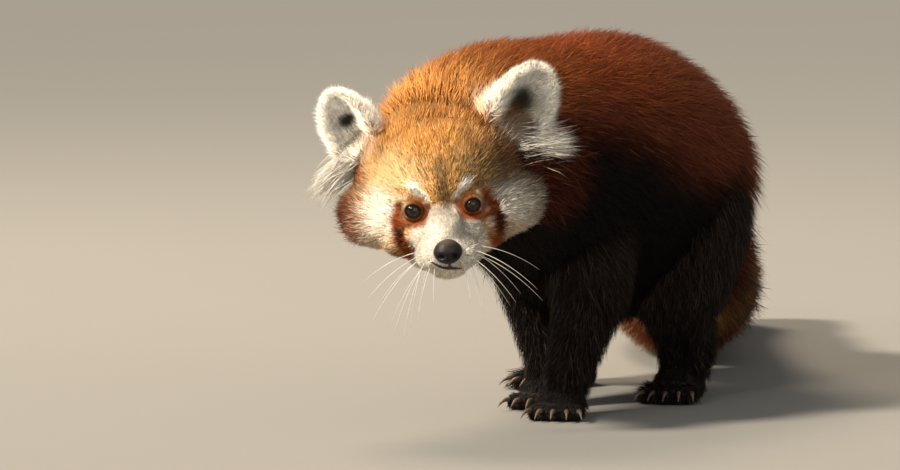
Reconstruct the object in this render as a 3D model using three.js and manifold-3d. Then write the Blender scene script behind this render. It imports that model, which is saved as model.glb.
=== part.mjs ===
// A life-size still model of a red panda, standing in a low crouch with its back arched and its
// head carried low and turned to its left. Millimetres, +Z up. The animal faces -Y, its left is +X
// and it stands on the plane Z = 0. The long coat is built as flat tapered locks on each piece.
import * as THREE from 'three';
import { mergeVertices } from 'three/addons/utils/BufferGeometryUtils.js';
import Module from 'manifold-3d';

const wasm = await Module();
wasm.setup();

const GAP = 0.3; // clear space between neighbouring pieces
const DEGREE = Math.PI / 180;
const point = (x, y, z) => new THREE.Vector3(x, y, z);

// Stations along the neck and body, from the head to the rump. Each holds the middle of a section,
// its half width, and its height above and below the middle, all out to the tips of the fur.
const TRUNK = [
  { x: -14, y: -74, z: 152, wide: 48, up: 54, down: 42 },
  { x: -14, y: -42, z: 160, wide: 66, up: 71, down: 54 },
  { x: -7, y: -2, z: 163, wide: 72, up: 77, down: 66 },
  { x: 0, y: 45, z: 160, wide: 73, up: 79, down: 76 },
  { x: 0, y: 98, z: 152, wide: 78, up: 87, down: 94 },
  { x: 0, y: 152, z: 147, wide: 80, up: 90, down: 99 },
  { x: 0, y: 206, z: 138, wide: 77, up: 82, down: 86 },
  { x: 0, y: 250, z: 130, wide: 62, up: 63, down: 60 },
  { x: -1, y: 278, z: 124, wide: 40, up: 43, down: 38 },
];
const NECK_END = 0.25; // share of the stations where the neck meets the torso

const TAIL = [
  { x: 0, y: 246, z: 150, wide: 26, up: 26, down: 26 },
  { x: -4, y: 283, z: 131, wide: 34, up: 33, down: 34 },
  { x: -14, y: 318, z: 98, wide: 42, up: 41, down: 41 },
  { x: -30, y: 355, z: 63, wide: 47, up: 46, down: 47 },
  { x: -52, y: 398, z: 48, wide: 50, up: 47, down: 48.5 },
  { x: -75, y: 443, z: 46, wide: 50, up: 46, down: 46.5 },
  { x: -95, y: 491, z: 44, wide: 49, up: 44, down: 44.5 },
  { x: -109, y: 538, z: 42, wide: 46, up: 42, down: 42.5 },
  { x: -116, y: 580, z: 38, wide: 41, up: 37, down: 38.2 },
  { x: -118, y: 612, z: 32, wide: 31, up: 29, down: 32.2 },
];
const TAIL_CUTS = [0.13, 0.45, 0.72]; // shares where the tail meets the torso and its lengths meet

// The legs, from inside the body down. Here up is the half depth behind and down the one in front.
const FORELEG_LEFT = [
  { x: 26, y: 46, z: 150, wide: 28, up: 34, down: 34 },
  { x: 31, y: 48, z: 118, wide: 30, up: 34, down: 34 },
  { x: 34, y: 50, z: 84, wide: 27, up: 29, down: 27 },
  { x: 32, y: 42, z: 56, wide: 21, up: 22, down: 20 },
  { x: 29, y: 32, z: 32, wide: 17, up: 18, down: 17 },
  { x: 28, y: 26, z: 10, wide: 16, up: 17, down: 16 },
];
const FORELEG_RIGHT = [
  { x: -26, y: 78, z: 150, wide: 28, up: 34, down: 34 },
  { x: -28, y: 88, z: 118, wide: 28, up: 34, down: 34 },
  { x: -26, y: 94, z: 84, wide: 24, up: 29, down: 26 },
  { x: -19, y: 90, z: 56, wide: 20, up: 21, down: 20 },
  { x: -12, y: 84, z: 32, wide: 17, up: 18, down: 17 },
  { x: -9, y: 79, z: 10, wide: 16, up: 17, down: 16 },
];
const THIGH = [
  { x: 36, y: 208, z: 136, wide: 34, up: 34, down: 34 },
  { x: 43, y: 184, z: 114, wide: 42, up: 44, down: 44 },
  { x: 49, y: 160, z: 90, wide: 38, up: 44, down: 42 },
  { x: 53, y: 140, z: 66, wide: 29, up: 33, down: 30 },
  { x: 54, y: 132, z: 46, wide: 15, up: 18, down: 14 },
];
const SHANK = [
  { x: 52, y: 138, z: 74, wide: 24, up: 24, down: 24 },
  { x: 53, y: 152, z: 54, wide: 24, up: 24, down: 26 },
  { x: 52, y: 163, z: 36, wide: 21, up: 20, down: 24 },
  { x: 50, y: 166, z: 12, wide: 18, up: 17, down: 20 },
];
const HIND_RIGHT_BACK = 40; // the right hind leg stands this much further back
const WRIST_Z = 24; // the level cut above each paw

// The paws: middle on the floor, the way they point in degrees, and their half sizes.
const FOREPAW = { wide: 17, long: 21, high: 15, toe: 11, claw: 12 };
const HINDPAW = { wide: 17, long: 35, high: 16, toe: 12, claw: 11 };
const PAWS = {
  forepaw_left: { x: 28, y: 17, turn: 14, ...FOREPAW },
  forepaw_right: { x: -8, y: 69, turn: 6, ...FOREPAW },
  hindpaw_left: { x: 51, y: 148, turn: 12, ...HINDPAW },
  hindpaw_right: { x: -51, y: 148 + HIND_RIGHT_BACK, turn: -12, ...HINDPAW },
};
const TOES = 5;
const TOE_FAN = 19 * DEGREE; // between neighbouring toes

// The head in its own frame, which faces -Y, with its origin inside the braincase.
const HEAD_PLACE = { x: -10.5, y: -78, z: 144, turn: 27.5, nod: 9, tilt: -6 };
const HEAD_FORMS = [
  { at: [0, 6, 12], half: [52, 52, 46] }, // braincase
  { at: [0, -18, 20], half: [40, 32, 34] }, // forehead
  { at: [14, -24, 14], half: [19, 19, 16], paired: true }, // brow
  { at: [31, -5, -3], half: [30, 36, 23], paired: true }, // cheek
  { at: [23, -28, -10], half: [19, 17, 17], paired: true }, // cheek pad below the eye
  { at: [0, -44, -4], half: [13, 26, 13] }, // bridge
  { at: [0, -50, -16], half: [20, 24, 13] }, // muzzle
  { at: [9, -60, -18.5], half: [12, 12, 9.5], paired: true }, // whisker pad
  { at: [0, -49, -28], half: [13, 17.5, 8.5] }, // chin
  { at: [0, -16, -24], half: [27, 34, 18] }, // throat
];
const BLEND = 7; // how far the forms of the head melt into each other
const HEAD_RINGS = [5, 10, 15, 20, 25, 30, 36, 43, 51, 60, 70, 81, 93, 106, 121, 138, 158];
const HEAD_SIDES = 28;
const MUZZLE_AIM = point(0, -71, -17).normalize(); // the pole of the head's rings

// The long coat. Each core stops half way to the tips, and the locks reach from it to the tips.
const TRUNK_COAT = { depth: 26, long: 82, wide: 56, thick: 9 };
const TAIL_COAT = { depth: 28, long: 64, wide: 44, thick: 9 };
const LEG_COAT = { depth: 12, long: 44, wide: 27, thick: 5 };
const COATS = {
  neck: { from: 0.11, to: 0.19, rows: 2, around: 8, seed: 3 },
  torso: { from: 0.27, to: 0.95, rows: 6, around: 9, seed: 7 },
  tail_base: { from: 0.15, to: 0.38, rows: 3, around: 6, seed: 11 },
  tail_middle: { from: 0.46, to: 0.66, rows: 3, around: 6, seed: 13 },
  tail_tip: { from: 0.73, to: 0.96, rows: 3, around: 6, seed: 17 },
};
const RUFF = [
  { ring: 74, long: 26, rise: 5, count: 5 },
  { ring: 94, long: 30, rise: 7, count: 6 },
];
const RUFF_ARC = { from: -78, to: 26 }; // from below the jaw to the ear, about the head's axis
const RUFF_LOCK = { wide: 24, thick: 6, sunk: 5 };
const SIDE_TUFT = { root: [40, 6, 24], tip: [88, 16, 17], spread: 9, count: 3, wide: 12, thick: 5 };
const EAR_TUFT = { count: 3, wide: 8, thick: 3, reach: 0.75 };
const LOCK_SHAPE = [[0, 0.55], [0.5, 1]]; // share of the length and of the width

const EYE = { x: 18, y: -40.6, z: 6, radius: 7.2 };
const LID = { radius: 5.6, thick: 1.7, forward: 4.8, outward: 18 };
const NOSE = { at: [0, -70.5, -15], half: [9, 7, 7.8] };
const NOSTRIL = { at: [4.2, -76.5, -16.4], half: [2.1, 3, 1.7] };
const MOUTH = [[20, -50, -23], [12.5, -61, -24.5], [6, -68, -27], [0, -70, -27.5]];
const MOUTH_GROOVE = 1.2;
const LIP = { drop: 2.6, radius: 1.9 };
const EAR = { x: 46, y: 12, z: 40, sunk: 16, deep: 11, wall: 4.5 };
const EARS = {
  left: { side: 1, lean: 30, tall: 48, wide: 23 },
  right: { side: -1, lean: 20, tall: 41, wide: 19 },
};
const EAR_SHARES = [[0, 0.8], [0.38, 1], [0.62, 0.97], [0.82, 0.74], [0.95, 0.38]];

// Solids from three.js shapes, and back again.

function solidOf(geometry) {
  const bare = geometry.index ? geometry.toNonIndexed() : geometry;
  const places = new THREE.BufferGeometry().setAttribute('position', bare.getAttribute('position'));
  const merged = mergeVertices(places, 1e-4);
  return new wasm.Manifold(new wasm.Mesh({
    numProp: 3,
    vertProperties: merged.attributes.position.array,
    triVerts: new Uint32Array(merged.index.array),
  }));
}

const join = (solids) => solids.reduce((all, one) => all.add(one));

// The largest closed surface: loose scraps and sealed hollows go.
function largest(solid) {
  const bodies = solid.decompose();
  return bodies.reduce((best, one) => (one.volume() > best.volume() ? one : best));
}

function geometryOf(solid) {
  const { vertProperties, triVerts, numProp } = solid.getMesh();
  const places = new Float32Array((vertProperties.length / numProp) * 3);
  for (let i = 0; i < places.length / 3; i++)
    places.set(vertProperties.subarray(i * numProp, i * numProp + 3), i * 3);
  const geometry = new THREE.BufferGeometry();
  geometry.setAttribute('position', new THREE.BufferAttribute(places, 3));
  geometry.setIndex(new THREE.BufferAttribute(triVerts, 1));
  return geometry;
}

// A closed skin over rings of points. A ring of one point closes an end, and other ends get a cap.
function loft(rings) {
  const places = rings.flat();
  const faces = [];
  let a = 0;
  rings.slice(1).forEach((next, i) => {
    const here = rings[i].length;
    const b = a + here;
    const n = Math.max(here, next.length);
    for (let k = 0; k < n; k++) {
      const l = (k + 1) % n;
      if (here === 1) faces.push(a, b + l, b + k);
      else if (next.length === 1) faces.push(a + k, a + l, b);
      else faces.push(a + k, a + l, b + k, a + l, b + l, b + k);
    }
    a = b;
  });
  const middleOf = (ring) => ring.reduce((sum, p) => sum.add(p), point(0, 0, 0)).divideScalar(ring.length);
  const cap = (ring, start, flip) => {
    if (ring.length === 1) return;
    const middle = places.push(middleOf(ring)) - 1;
    ring.forEach((_, k) => {
      const edge = [start + k, start + ((k + 1) % ring.length)];
      faces.push(middle, ...(flip ? edge.reverse() : edge));
    });
  };
  cap(rings[0], 0, true);
  cap(rings[rings.length - 1], a, false);
  let volume = 0;
  for (let i = 0; i < faces.length; i += 3)
    volume += places[faces[i]].dot(places[faces[i + 1]].clone().cross(places[faces[i + 2]]));
  if (volume < 0) faces.reverse();
  const geometry = new THREE.BufferGeometry().setFromPoints(places);
  geometry.setIndex(faces);
  return solidOf(geometry);
}

function ball(at, half, across = 10, tall = 7) {
  const geometry = new THREE.SphereGeometry(1, across, tall);
  geometry.scale(...half).translate(...at);
  return solidOf(geometry);
}

// A round bar along a smooth line through the given places.
function bar(places, radius, steps) {
  const section = new THREE.Shape().absarc(0, 0, radius, 0, 2 * Math.PI);
  const line = new THREE.CatmullRomCurve3(places);
  return solidOf(new THREE.ExtrudeGeometry(section, { extrudePath: line, steps, curveSegments: 2 }));
}

// A fleshy tube along stations.
class Limb {
  constructor(stations) {
    this.line = new THREE.CatmullRomCurve3(stations.map((s) => point(s.x, s.y, s.z)));
    this.sizes = new THREE.CatmullRomCurve3(stations.map((s) => point(s.wide, s.up, s.down)));
    this.length = this.line.getLength();
  }

  // A place on the section at t, at an angle from the left side over the top, moved out by more.
  at(t, angle, more = 0, scale = 1) {
    const inside = Math.min(Math.max(t, 0), 1);
    const along = this.line.getTangent(inside);
    const left = point(1, 0, 0).addScaledVector(along, -along.x).normalize();
    const up = left.clone().cross(along);
    const size = this.sizes.getPoint(inside);
    const high = Math.sin(angle) > 0 ? size.y : size.z;
    return this.line.getPoint(inside)
      .addScaledVector(along, (t - inside) * this.length)
      .addScaledVector(left, Math.cos(angle) * Math.max((size.x + more) * scale, 1))
      .addScaledVector(up, Math.sin(angle) * Math.max((high + more) * scale, 1));
  }

  // The whole tube, with a rounded far end where it has a dome.
  core(sides, rings, more = 0, dome = 0) {
    const ring = (t, scale) => Array.from({ length: sides }, (_, k) =>
      this.at(t, (k / sides) * 2 * Math.PI, more, scale));
    const made = Array.from({ length: rings + 1 }, (_, i) => ring(i / rings, 1));
    if (dome) {
      made.push(ring(1 + (0.6 * dome) / this.length, 0.75));
      made.push(ring(1 + dome / this.length, 0.3));
    }
    return loft(made);
  }

  // Whether a place lies well inside the tube.
  holds(place) {
    for (let t = 0; t <= 1; t += 0.05) {
      const size = this.sizes.getPoint(t);
      if (place.distanceTo(this.line.getPoint(t)) < 0.9 * Math.min(size.x, size.y, size.z)) return true;
    }
    return false;
  }

  // The solid's part before or after the section at t.
  before(solid, t) {
    const along = this.line.getTangent(t);
    const level = along.dot(this.line.getPoint(t));
    return solid.trimByPlane(along.clone().negate().toArray(), -level);
  }

  after(solid, t) {
    const along = this.line.getTangent(t);
    const level = along.dot(this.line.getPoint(t));
    return solid.trimByPlane(along.toArray(), level + GAP);
  }
}

// A flat tapered lock that bends from its root through a bow to its tip, or the room it needs.
function lock({ root, bow, tip, across, wide, thick }, more = 0) {
  const line = new THREE.QuadraticBezierCurve3(root, bow, tip);
  const rings = (more ? [...LOCK_SHAPE, [1, 0]] : LOCK_SHAPE).map(([step, share]) => {
    const middle = line.getPoint(step);
    const side = across.clone().setLength((wide / 2) * share + 3 * more);
    const lift = across.clone().cross(line.getTangent(step)).setLength(thick * share + 2.5 * more);
    const under = more ? [lift.clone().setLength(-4 * more)] : [];
    return [side, lift, side.clone().negate(), ...under].map((way) => way.add(middle));
  });
  return loft([...rings, [tip.clone().addScaledVector(line.getTangent(1), 1.5 * more)]]);
}

const locksOf = (specs, more = 0) => join(specs.map((spec) => lock(spec, more)));

// Seeded draws between -0.5 and 0.5, so that each build gives the same coat.
function draws(seed) {
  let state = seed;
  return () => {
    state = (state * 1664525 + 1013904223) >>> 0;
    return state / 4294967296 - 0.5;
  };
}

// Rows of locks round a limb, each half a step on from the row before, lying towards its far end.
function coat(limb, { depth, long, wide, thick }, { from, to, rows, around, seed }, bare = () => false) {
  const draw = draws(seed);
  const specs = [];
  for (let row = 0; row < rows; row++) {
    for (let k = 0; k < around; k++) {
      const t = from + (to - from) * ((row + 0.2 * draw()) / Math.max(rows - 1, 1));
      const angle = ((k + (row % 2) / 2 + 0.15 * draw()) / around) * 2 * Math.PI;
      const reach = (long * (1 + 0.25 * draw())) / limb.length;
      const sway = draw() / around;
      const past = Math.max(t + reach - 1, 0) * limb.length;
      const root = limb.at(t, angle, -depth * 0.5 - thick * 1.3);
      const bow = limb.at(Math.min(t + 0.5 * reach, 1), angle + sway * 0.5, thick * 0.1);
      const tip = limb.at(t + reach, angle + sway, -depth * 0.06 - past * 0.7);
      const across = limb.at(t, angle + 0.05).sub(limb.at(t, angle - 0.05)).normalize();
      const spec = { root, bow, tip, across, wide: wide * (1 + 0.25 * draw()), thick };
      if (!bare(bow) && !bare(root) && bow.z > thick) specs.push(spec);
    }
  }
  return specs;
}

const aboveFloor = (solid) => solid.trimByPlane([0, 0, 1], 0);

// The head.

const forms = HEAD_FORMS.flatMap(({ at, half, paired }) => {
  const made = [{ at: point(...at), half: point(...half) }];
  if (paired) made.push({ at: point(-at[0], at[1], at[2]), half: point(...half) });
  return made;
});

// Roughly how far a place lies outside the blended forms.
function headField(place) {
  let field = Infinity;
  for (const { at, half } of forms) {
    const near = place.clone().sub(at).divide(half);
    const steep = near.clone().divide(half).length();
    const one = (near.length() * (near.length() - 1)) / Math.max(steep, 1e-6);
    const mix = Math.max(BLEND - Math.abs(field - one), 0) / BLEND;
    field = Math.min(field, one) - (field === Infinity ? 0 : (mix * mix * BLEND) / 4);
  }
  return field;
}

// Where the way out from the head's origin leaves its surface, or a surface further out.
function onHead(way, more = 0) {
  let inner = 10;
  let outer = 120;
  for (let reach = outer; reach > inner; reach -= 3) {
    if (headField(way.clone().multiplyScalar(reach)) < more) {
      inner = reach;
      outer = reach + 3;
    }
  }
  for (let i = 0; i < 12; i++) {
    const half = (inner + outer) / 2;
    if (headField(way.clone().multiplyScalar(half)) < more) inner = half;
    else outer = half;
  }
  return way.clone().multiplyScalar(outer);
}

// The way out at a ring round the muzzle's aim, in degrees, and a turn from the left over the top.
function headWay(ring, turn) {
  const side = point(1, 0, 0);
  const up = side.clone().cross(MUZZLE_AIM).negate();
  return MUZZLE_AIM.clone().multiplyScalar(Math.cos(ring * DEGREE))
    .addScaledVector(side, Math.sin(ring * DEGREE) * Math.cos(turn * DEGREE))
    .addScaledVector(up, Math.sin(ring * DEGREE) * Math.sin(turn * DEGREE));
}

function headCore(more = 0) {
  const rings = HEAD_RINGS.map((ring) => Array.from({ length: HEAD_SIDES }, (_, k) =>
    onHead(headWay(ring, (k / HEAD_SIDES) * 360), more)));
  return loft([[onHead(MUZZLE_AIM, more)], ...rings, [onHead(MUZZLE_AIM.clone().negate(), more)]]);
}

const headMatrix = new THREE.Matrix4()
  .makeTranslation(HEAD_PLACE.x, HEAD_PLACE.y, HEAD_PLACE.z)
  .multiply(new THREE.Matrix4().makeRotationZ(HEAD_PLACE.turn * DEGREE))
  .multiply(new THREE.Matrix4().makeRotationX(HEAD_PLACE.nod * DEGREE))
  .multiply(new THREE.Matrix4().makeRotationY(HEAD_PLACE.tilt * DEGREE));
const placeHead = (solid) => solid.transform(headMatrix.toArray());

const bothSides = [{ side: 1, name: 'left' }, { side: -1, name: 'right' }];

// The cheek ruff, in two tiers that lie back over the jaw and neck, and the tufts below the ears.
function headLocks() {
  const draw = draws(5);
  const specs = [];
  const { from, to } = RUFF_ARC;
  RUFF.forEach(({ ring, long, rise, count }, tier) => {
    for (let k = 0; k < 2 * count; k++) {
      const step = (Math.floor(k / 2) + tier / 2 + 0.2 * draw()) / count;
      const lift = from + (to - from) * step;
      const turn = k % 2 ? lift : 180 - lift;
      const fall = k % 2 ? -5 : 5;
      const span = long * (1 + 0.3 * draw()) * 0.95;
      const root = onHead(headWay(ring, turn), -RUFF_LOCK.sunk);
      const bow = onHead(headWay(ring + span * 0.45, turn + fall * 0.4), rise * 0.9);
      const tip = onHead(headWay(ring + span * 0.95, turn + fall), rise);
      const across = onHead(headWay(ring, turn + 3)).sub(onHead(headWay(ring, turn - 3))).normalize();
      specs.push({ root, bow, tip, across, wide: RUFF_LOCK.wide * (1 + 0.2 * draw()), thick: RUFF_LOCK.thick });
    }
  });
  bothSides.forEach(({ side }) => {
    for (let k = 0; k < SIDE_TUFT.count; k++) {
      const fan = (k - (SIDE_TUFT.count - 1) / 2) * SIDE_TUFT.spread;
      const [root, tip] = [SIDE_TUFT.root, SIDE_TUFT.tip].map(([x, y, z], end) =>
        point(side * (x - Math.abs(fan) * end * 0.5), y + 0.2 * fan, z + fan * (0.5 + end)));
      const bow = root.clone().lerp(tip, 0.5).add(point(0, -3, 4));
      specs.push({ root, bow, tip, across: point(0, 0.4, 1), wide: SIDE_TUFT.wide, thick: SIDE_TUFT.thick });
    }
  });
  return specs;
}

function lids(side) {
  const ring = new THREE.TorusGeometry(LID.radius, LID.thick, 5, 10);
  ring.rotateX(90 * DEGREE).scale(1, 1, 0.94);
  ring.translate(0, -LID.forward, 0).rotateZ(side * LID.outward * DEGREE);
  ring.translate(side * EYE.x, EYE.y, EYE.z);
  return solidOf(ring);
}

function makeHead() {
  const mouth = MOUTH.concat(MOUTH.slice(0, -1).reverse().map(([x, y, z]) => [-x, y, z]))
    .map(([x, y, z]) => onHead(point(x, y, z).normalize()));
  const lip = mouth.map((p) => onHead(p.clone().add(point(0, 0, -LIP.drop)).normalize(), -LIP.radius / 2));
  let head = headCore().add(locksOf(headLocks())).add(bar(lip, LIP.radius, 8)).subtract(bar(mouth, MOUTH_GROOVE, 8));
  bothSides.forEach(({ side }) => {
    head = head.add(lids(side));
  });
  bothSides.forEach(({ side }) => {
    head = head.subtract(ball([side * EYE.x, EYE.y, EYE.z], Array(3).fill(EYE.radius + GAP), 12, 8));
  });
  return head.subtract(ball(NOSE.at, NOSE.half.map((size) => size + GAP), 12, 8));
}

const makeEye = (side) => ball([side * EYE.x, EYE.y, EYE.z], Array(3).fill(EYE.radius), 12, 8);

function makeNose() {
  return bothSides.reduce((nose, { side }) => {
    const [x, y, z] = NOSTRIL.at;
    return nose.subtract(ball([side * x, y, z], NOSTRIL.half, 6, 5));
  }, ball(NOSE.at, NOSE.half, 12, 8));
}

// An ear is a leaf-shaped shell with its cup facing forward.
function leaf(wide, deep, shift, tall) {
  const rings = EAR_SHARES.map(([share, breadth]) => Array.from({ length: 10 }, (_, k) => {
    const turn = (k / 10) * 2 * Math.PI;
    const bow = -6 * Math.sin(share * Math.PI * 0.5);
    return point(
      Math.cos(turn) * wide * breadth,
      Math.sin(turn) * deep * breadth + shift + bow,
      -EAR.sunk + share * (tall + EAR.sunk),
    );
  }));
  return loft([...rings, [point(0, shift - 6, tall)]]);
}

function placeEar(solid, { side, lean }) {
  const place = new THREE.Matrix4()
    .makeTranslation(side * EAR.x, EAR.y, EAR.z)
    .multiply(new THREE.Matrix4().makeRotationY(side * lean * DEGREE))
    .multiply(new THREE.Matrix4().makeRotationZ(side * lean * 0.6 * DEGREE));
  return solid.transform(place.toArray());
}

// White hair that rises from the ear's inner rim across the front of its cup.
function earLocks({ side, tall, wide }) {
  return Array.from({ length: EAR_TUFT.count }, (_, k) => {
    const height = tall * (0.12 + 0.16 * k);
    const rim = -side * (wide - EAR.wall * 0.6);
    const root = point(rim * 0.95, -6, height);
    const bow = point(rim * 0.6, -EAR.deep - 2, height + tall * 0.16);
    const tip = point(rim * (0.6 - EAR_TUFT.reach), -EAR.deep, height + tall * 0.3);
    return { root, bow, tip, across: point(0, 0.3, 1), wide: EAR_TUFT.wide, thick: EAR_TUFT.thick };
  });
}

function makeEar(ear) {
  const cup = leaf(ear.wide - EAR.wall, EAR.deep, -EAR.wall * 1.6, ear.tall).translate([0, 0, -EAR.wall * 0.6]);
  const shell = leaf(ear.wide, EAR.deep, 0, ear.tall).subtract(cup).add(locksOf(earLocks(ear)));
  return placeEar(shell, ear).subtract(headCore(GAP)).subtract(locksOf(headLocks(), GAP));
}

function earRoom(ear) {
  const shell = leaf(ear.wide + GAP, EAR.deep + GAP, 0, ear.tall + GAP);
  return placeEar(shell.add(locksOf(earLocks(ear), GAP)), ear);
}

// The paws.

function makeClaw(long) {
  const rings = [[0, 2.6], [0.5, 2]].map(([share, thick]) =>
    Array.from({ length: 4 }, (_, k) => point(
      Math.cos((k / 4) * 2 * Math.PI) * thick * 0.7,
      -share * long,
      Math.sin((k / 4) * 2 * Math.PI) * thick - 2.4 * share * share,
    )));
  return loft([...rings, [point(0, -long, -4.6)]]);
}

function makePaw({ x, y, turn, wide, long, high, toe, claw }) {
  const pieces = [ball([0, long * 0.25, high * 0.45], [wide, long * 0.85, high], 10, 6)];
  for (let i = 0; i < TOES; i++) {
    const fan = (i - (TOES - 1) / 2) * TOE_FAN;
    const reach = long * 0.62 * Math.cos(fan * 0.8);
    const place = new THREE.Matrix4()
      .makeTranslation(Math.sin(fan) * wide * 1.25, -reach, toe * 0.45)
      .multiply(new THREE.Matrix4().makeRotationZ(fan * 0.5));
    const toeBall = ball([0, 0, 0], [toe * 0.44, toe * 0.95, toe * 0.62], 6, 4);
    const clawSolid = makeClaw(claw).translate([0, -toe * 0.7, toe * 0.12]);
    pieces.push(toeBall.add(clawSolid).transform(place.toArray()));
  }
  const place = new THREE.Matrix4().makeTranslation(x, y, 0)
    .multiply(new THREE.Matrix4().makeRotationZ(turn * DEGREE));
  return aboveFloor(join(pieces).transform(place.toArray()));
}

// All the pieces, each cut clear of those that come before it.

const trunk = new Limb(TRUNK);
const tail = new Limb(TAIL);
const mirrored = (stations, back) => stations.map((s) => ({ ...s, x: -s.x, y: s.y + back }));
const legs = {
  foreleg_left: [FORELEG_LEFT],
  foreleg_right: [FORELEG_RIGHT],
  hindleg_left: [THIGH, SHANK],
  hindleg_right: [mirrored(THIGH, HIND_RIGHT_BACK), mirrored(SHANK, HIND_RIGHT_BACK)],
};
const inTrunk = (place) => trunk.holds(place);
const outline = Object.values(legs).flat().map((stations) => new Limb(stations));

// A leg's core, with locks on its upper part, or the room that they need.
function legSolid(parts, more = 0) {
  const limbs = parts.map((part) => new Limb(part));
  const cores = limbs.map((limb) => limb.core(10, 6, more - LEG_COAT.depth / 2));
  const specs = coat(limbs[0], LEG_COAT, { from: 0.36, to: 0.56, rows: 2, around: 5, seed: 19 }, inTrunk);
  return join([...cores, locksOf(specs, more)]);
}

const finish = {
  red: { color: 0x8a3f1c, roughness: 0.85 },
  face: { color: 0xc98a52, roughness: 0.85 },
  ear: { color: 0xe9e0d2, roughness: 0.85 },
  dark: { color: 0x241410, roughness: 0.85 },
  ringed: { color: 0xa8622e, roughness: 0.85 },
  nose: { color: 0x191514, roughness: 0.35 },
  eye: { color: 0x1c100a, roughness: 0.08 },
};

const animal = new THREE.Group();

function addPiece(name, solid, look) {
  const material = new THREE.MeshStandardMaterial({ ...finish[look], metalness: 0 });
  const mesh = new THREE.Mesh(geometryOf(largest(solid)), material);
  mesh.name = name;
  animal.add(mesh);
}

const head = placeHead(makeHead());
const headRoom = placeHead(join([
  headCore(GAP),
  locksOf(headLocks(), GAP),
  earRoom(EARS.left),
  earRoom(EARS.right),
]));
addPiece('head', head, 'face');
addPiece('nose', placeHead(makeNose()), 'nose');
bothSides.forEach(({ side, name }) => {
  addPiece(`eye_${name}`, placeHead(makeEye(side)), 'eye');
  addPiece(`ear_${name}`, placeHead(makeEar(EARS[name])), 'ear');
});

const tailCore = tail.core(11, 14, -TAIL_COAT.depth / 2, 16);
const trunkCore = trunk.core(18, 13, -TRUNK_COAT.depth / 2, 30).add(tail.before(tailCore, TAIL_CUTS[0]));
const inLeg = (place) => outline.some((leg) => leg.holds(place));
const coated = (core, limb, look, name, bare) => core.add(locksOf(coat(limb, look, COATS[name], bare)));
const neck = trunk.before(coated(trunkCore, trunk, TRUNK_COAT, 'neck', inLeg), NECK_END);
let torso = trunk.after(coated(trunkCore, trunk, TRUNK_COAT, 'torso', inLeg), NECK_END);
torso = tail.before(torso, TAIL_CUTS[0]);
const legRoom = join(Object.values(legs).map((parts) => legSolid(parts, GAP)));
for (const [name, parts] of Object.entries(legs)) {
  const paw = name.replace('leg', 'paw');
  addPiece(name, legSolid(parts).trimByPlane([0, 0, 1], WRIST_Z + GAP), 'dark');
  addPiece(paw, makePaw(PAWS[paw]).trimByPlane([0, 0, -1], -WRIST_Z), 'dark');
}
addPiece('neck', neck.subtract(legRoom).subtract(headRoom), 'red');
addPiece('torso', torso.subtract(legRoom).subtract(headRoom), 'red');
['tail_base', 'tail_middle', 'tail_tip'].forEach((name, i) => {
  let length = tail.after(coated(tailCore, tail, TAIL_COAT, name), TAIL_CUTS[i]);
  if (i < 2) length = tail.before(length, TAIL_CUTS[i + 1]);
  addPiece(name, aboveFloor(length).subtract(legRoom), 'ringed');
});

const extent = new THREE.Box3().setFromObject(animal);
const middle = extent.getCenter(point(0, 0, 0));
animal.position.set(-middle.x, -middle.y, -extent.min.z);

export default animal;
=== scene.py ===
# A life-size still model of a red panda in a low crouch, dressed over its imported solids: one skin,
# a coat of thin mesh tufts that lie as the fur does, and eyes, lids, nose, mouth, whiskers and claws.
# Named sizes are millimetres in the solids' own frame: the animal faces -Y and its left is +X.
import math
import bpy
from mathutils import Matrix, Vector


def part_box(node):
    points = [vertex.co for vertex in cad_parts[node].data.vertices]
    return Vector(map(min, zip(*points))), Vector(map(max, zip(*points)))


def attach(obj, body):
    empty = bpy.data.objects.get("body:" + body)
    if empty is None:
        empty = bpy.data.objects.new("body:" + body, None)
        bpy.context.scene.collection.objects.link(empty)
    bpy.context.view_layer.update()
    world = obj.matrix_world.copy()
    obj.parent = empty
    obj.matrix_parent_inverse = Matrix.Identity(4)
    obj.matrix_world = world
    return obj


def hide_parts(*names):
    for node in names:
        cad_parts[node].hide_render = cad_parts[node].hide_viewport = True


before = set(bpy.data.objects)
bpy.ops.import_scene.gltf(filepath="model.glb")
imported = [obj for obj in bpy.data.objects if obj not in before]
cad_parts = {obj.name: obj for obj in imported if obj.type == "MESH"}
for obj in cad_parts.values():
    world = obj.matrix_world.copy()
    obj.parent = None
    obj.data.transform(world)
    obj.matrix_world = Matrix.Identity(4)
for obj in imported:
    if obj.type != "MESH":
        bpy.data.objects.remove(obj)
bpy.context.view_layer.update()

from types import SimpleNamespace

import bpy
import numpy as np
from mathutils import Matrix, Vector

MM = 0.001
SEED = 20

# The photograph's frame, and where the middle of the eyes stands in it.
PICTURE_WIDE, PICTURE_HIGH = 900, 470
EYES_PIXEL = (442.5, 207)
MM_PER_PIXEL = 0.61728
CAMERA = {"azimuth": 25, "elevation": 5, "distance": 5.0, "lens": 324, "sensor": 36}

# Stations from head to rump, tail root to tip, and body to paw: middle, half width, half height
# above and below, out to the tips of the fur.
TRUNK = [
    (-14, -74, 152, 48, 54, 42), (-14, -42, 160, 66, 71, 54), (-7, -2, 163, 72, 77, 66),
    (0, 45, 160, 73, 79, 76), (0, 98, 152, 78, 87, 94), (0, 152, 147, 80, 90, 99),
    (0, 206, 138, 77, 82, 86), (0, 250, 130, 62, 63, 60), (-1, 278, 124, 40, 43, 38),
]
TAIL = [
    (0, 246, 150, 26, 26, 26), (-4, 283, 131, 34, 33, 34), (-14, 318, 98, 42, 41, 41),
    (-30, 355, 63, 47, 46, 47), (-52, 398, 48, 50, 47, 48.5), (-75, 443, 46, 50, 46, 46.5),
    (-95, 491, 44, 49, 44, 44.5), (-109, 538, 42, 46, 42, 42.5), (-116, 580, 38, 41, 37, 38.2),
    (-118, 612, 32, 31, 29, 32.2),
]
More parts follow.
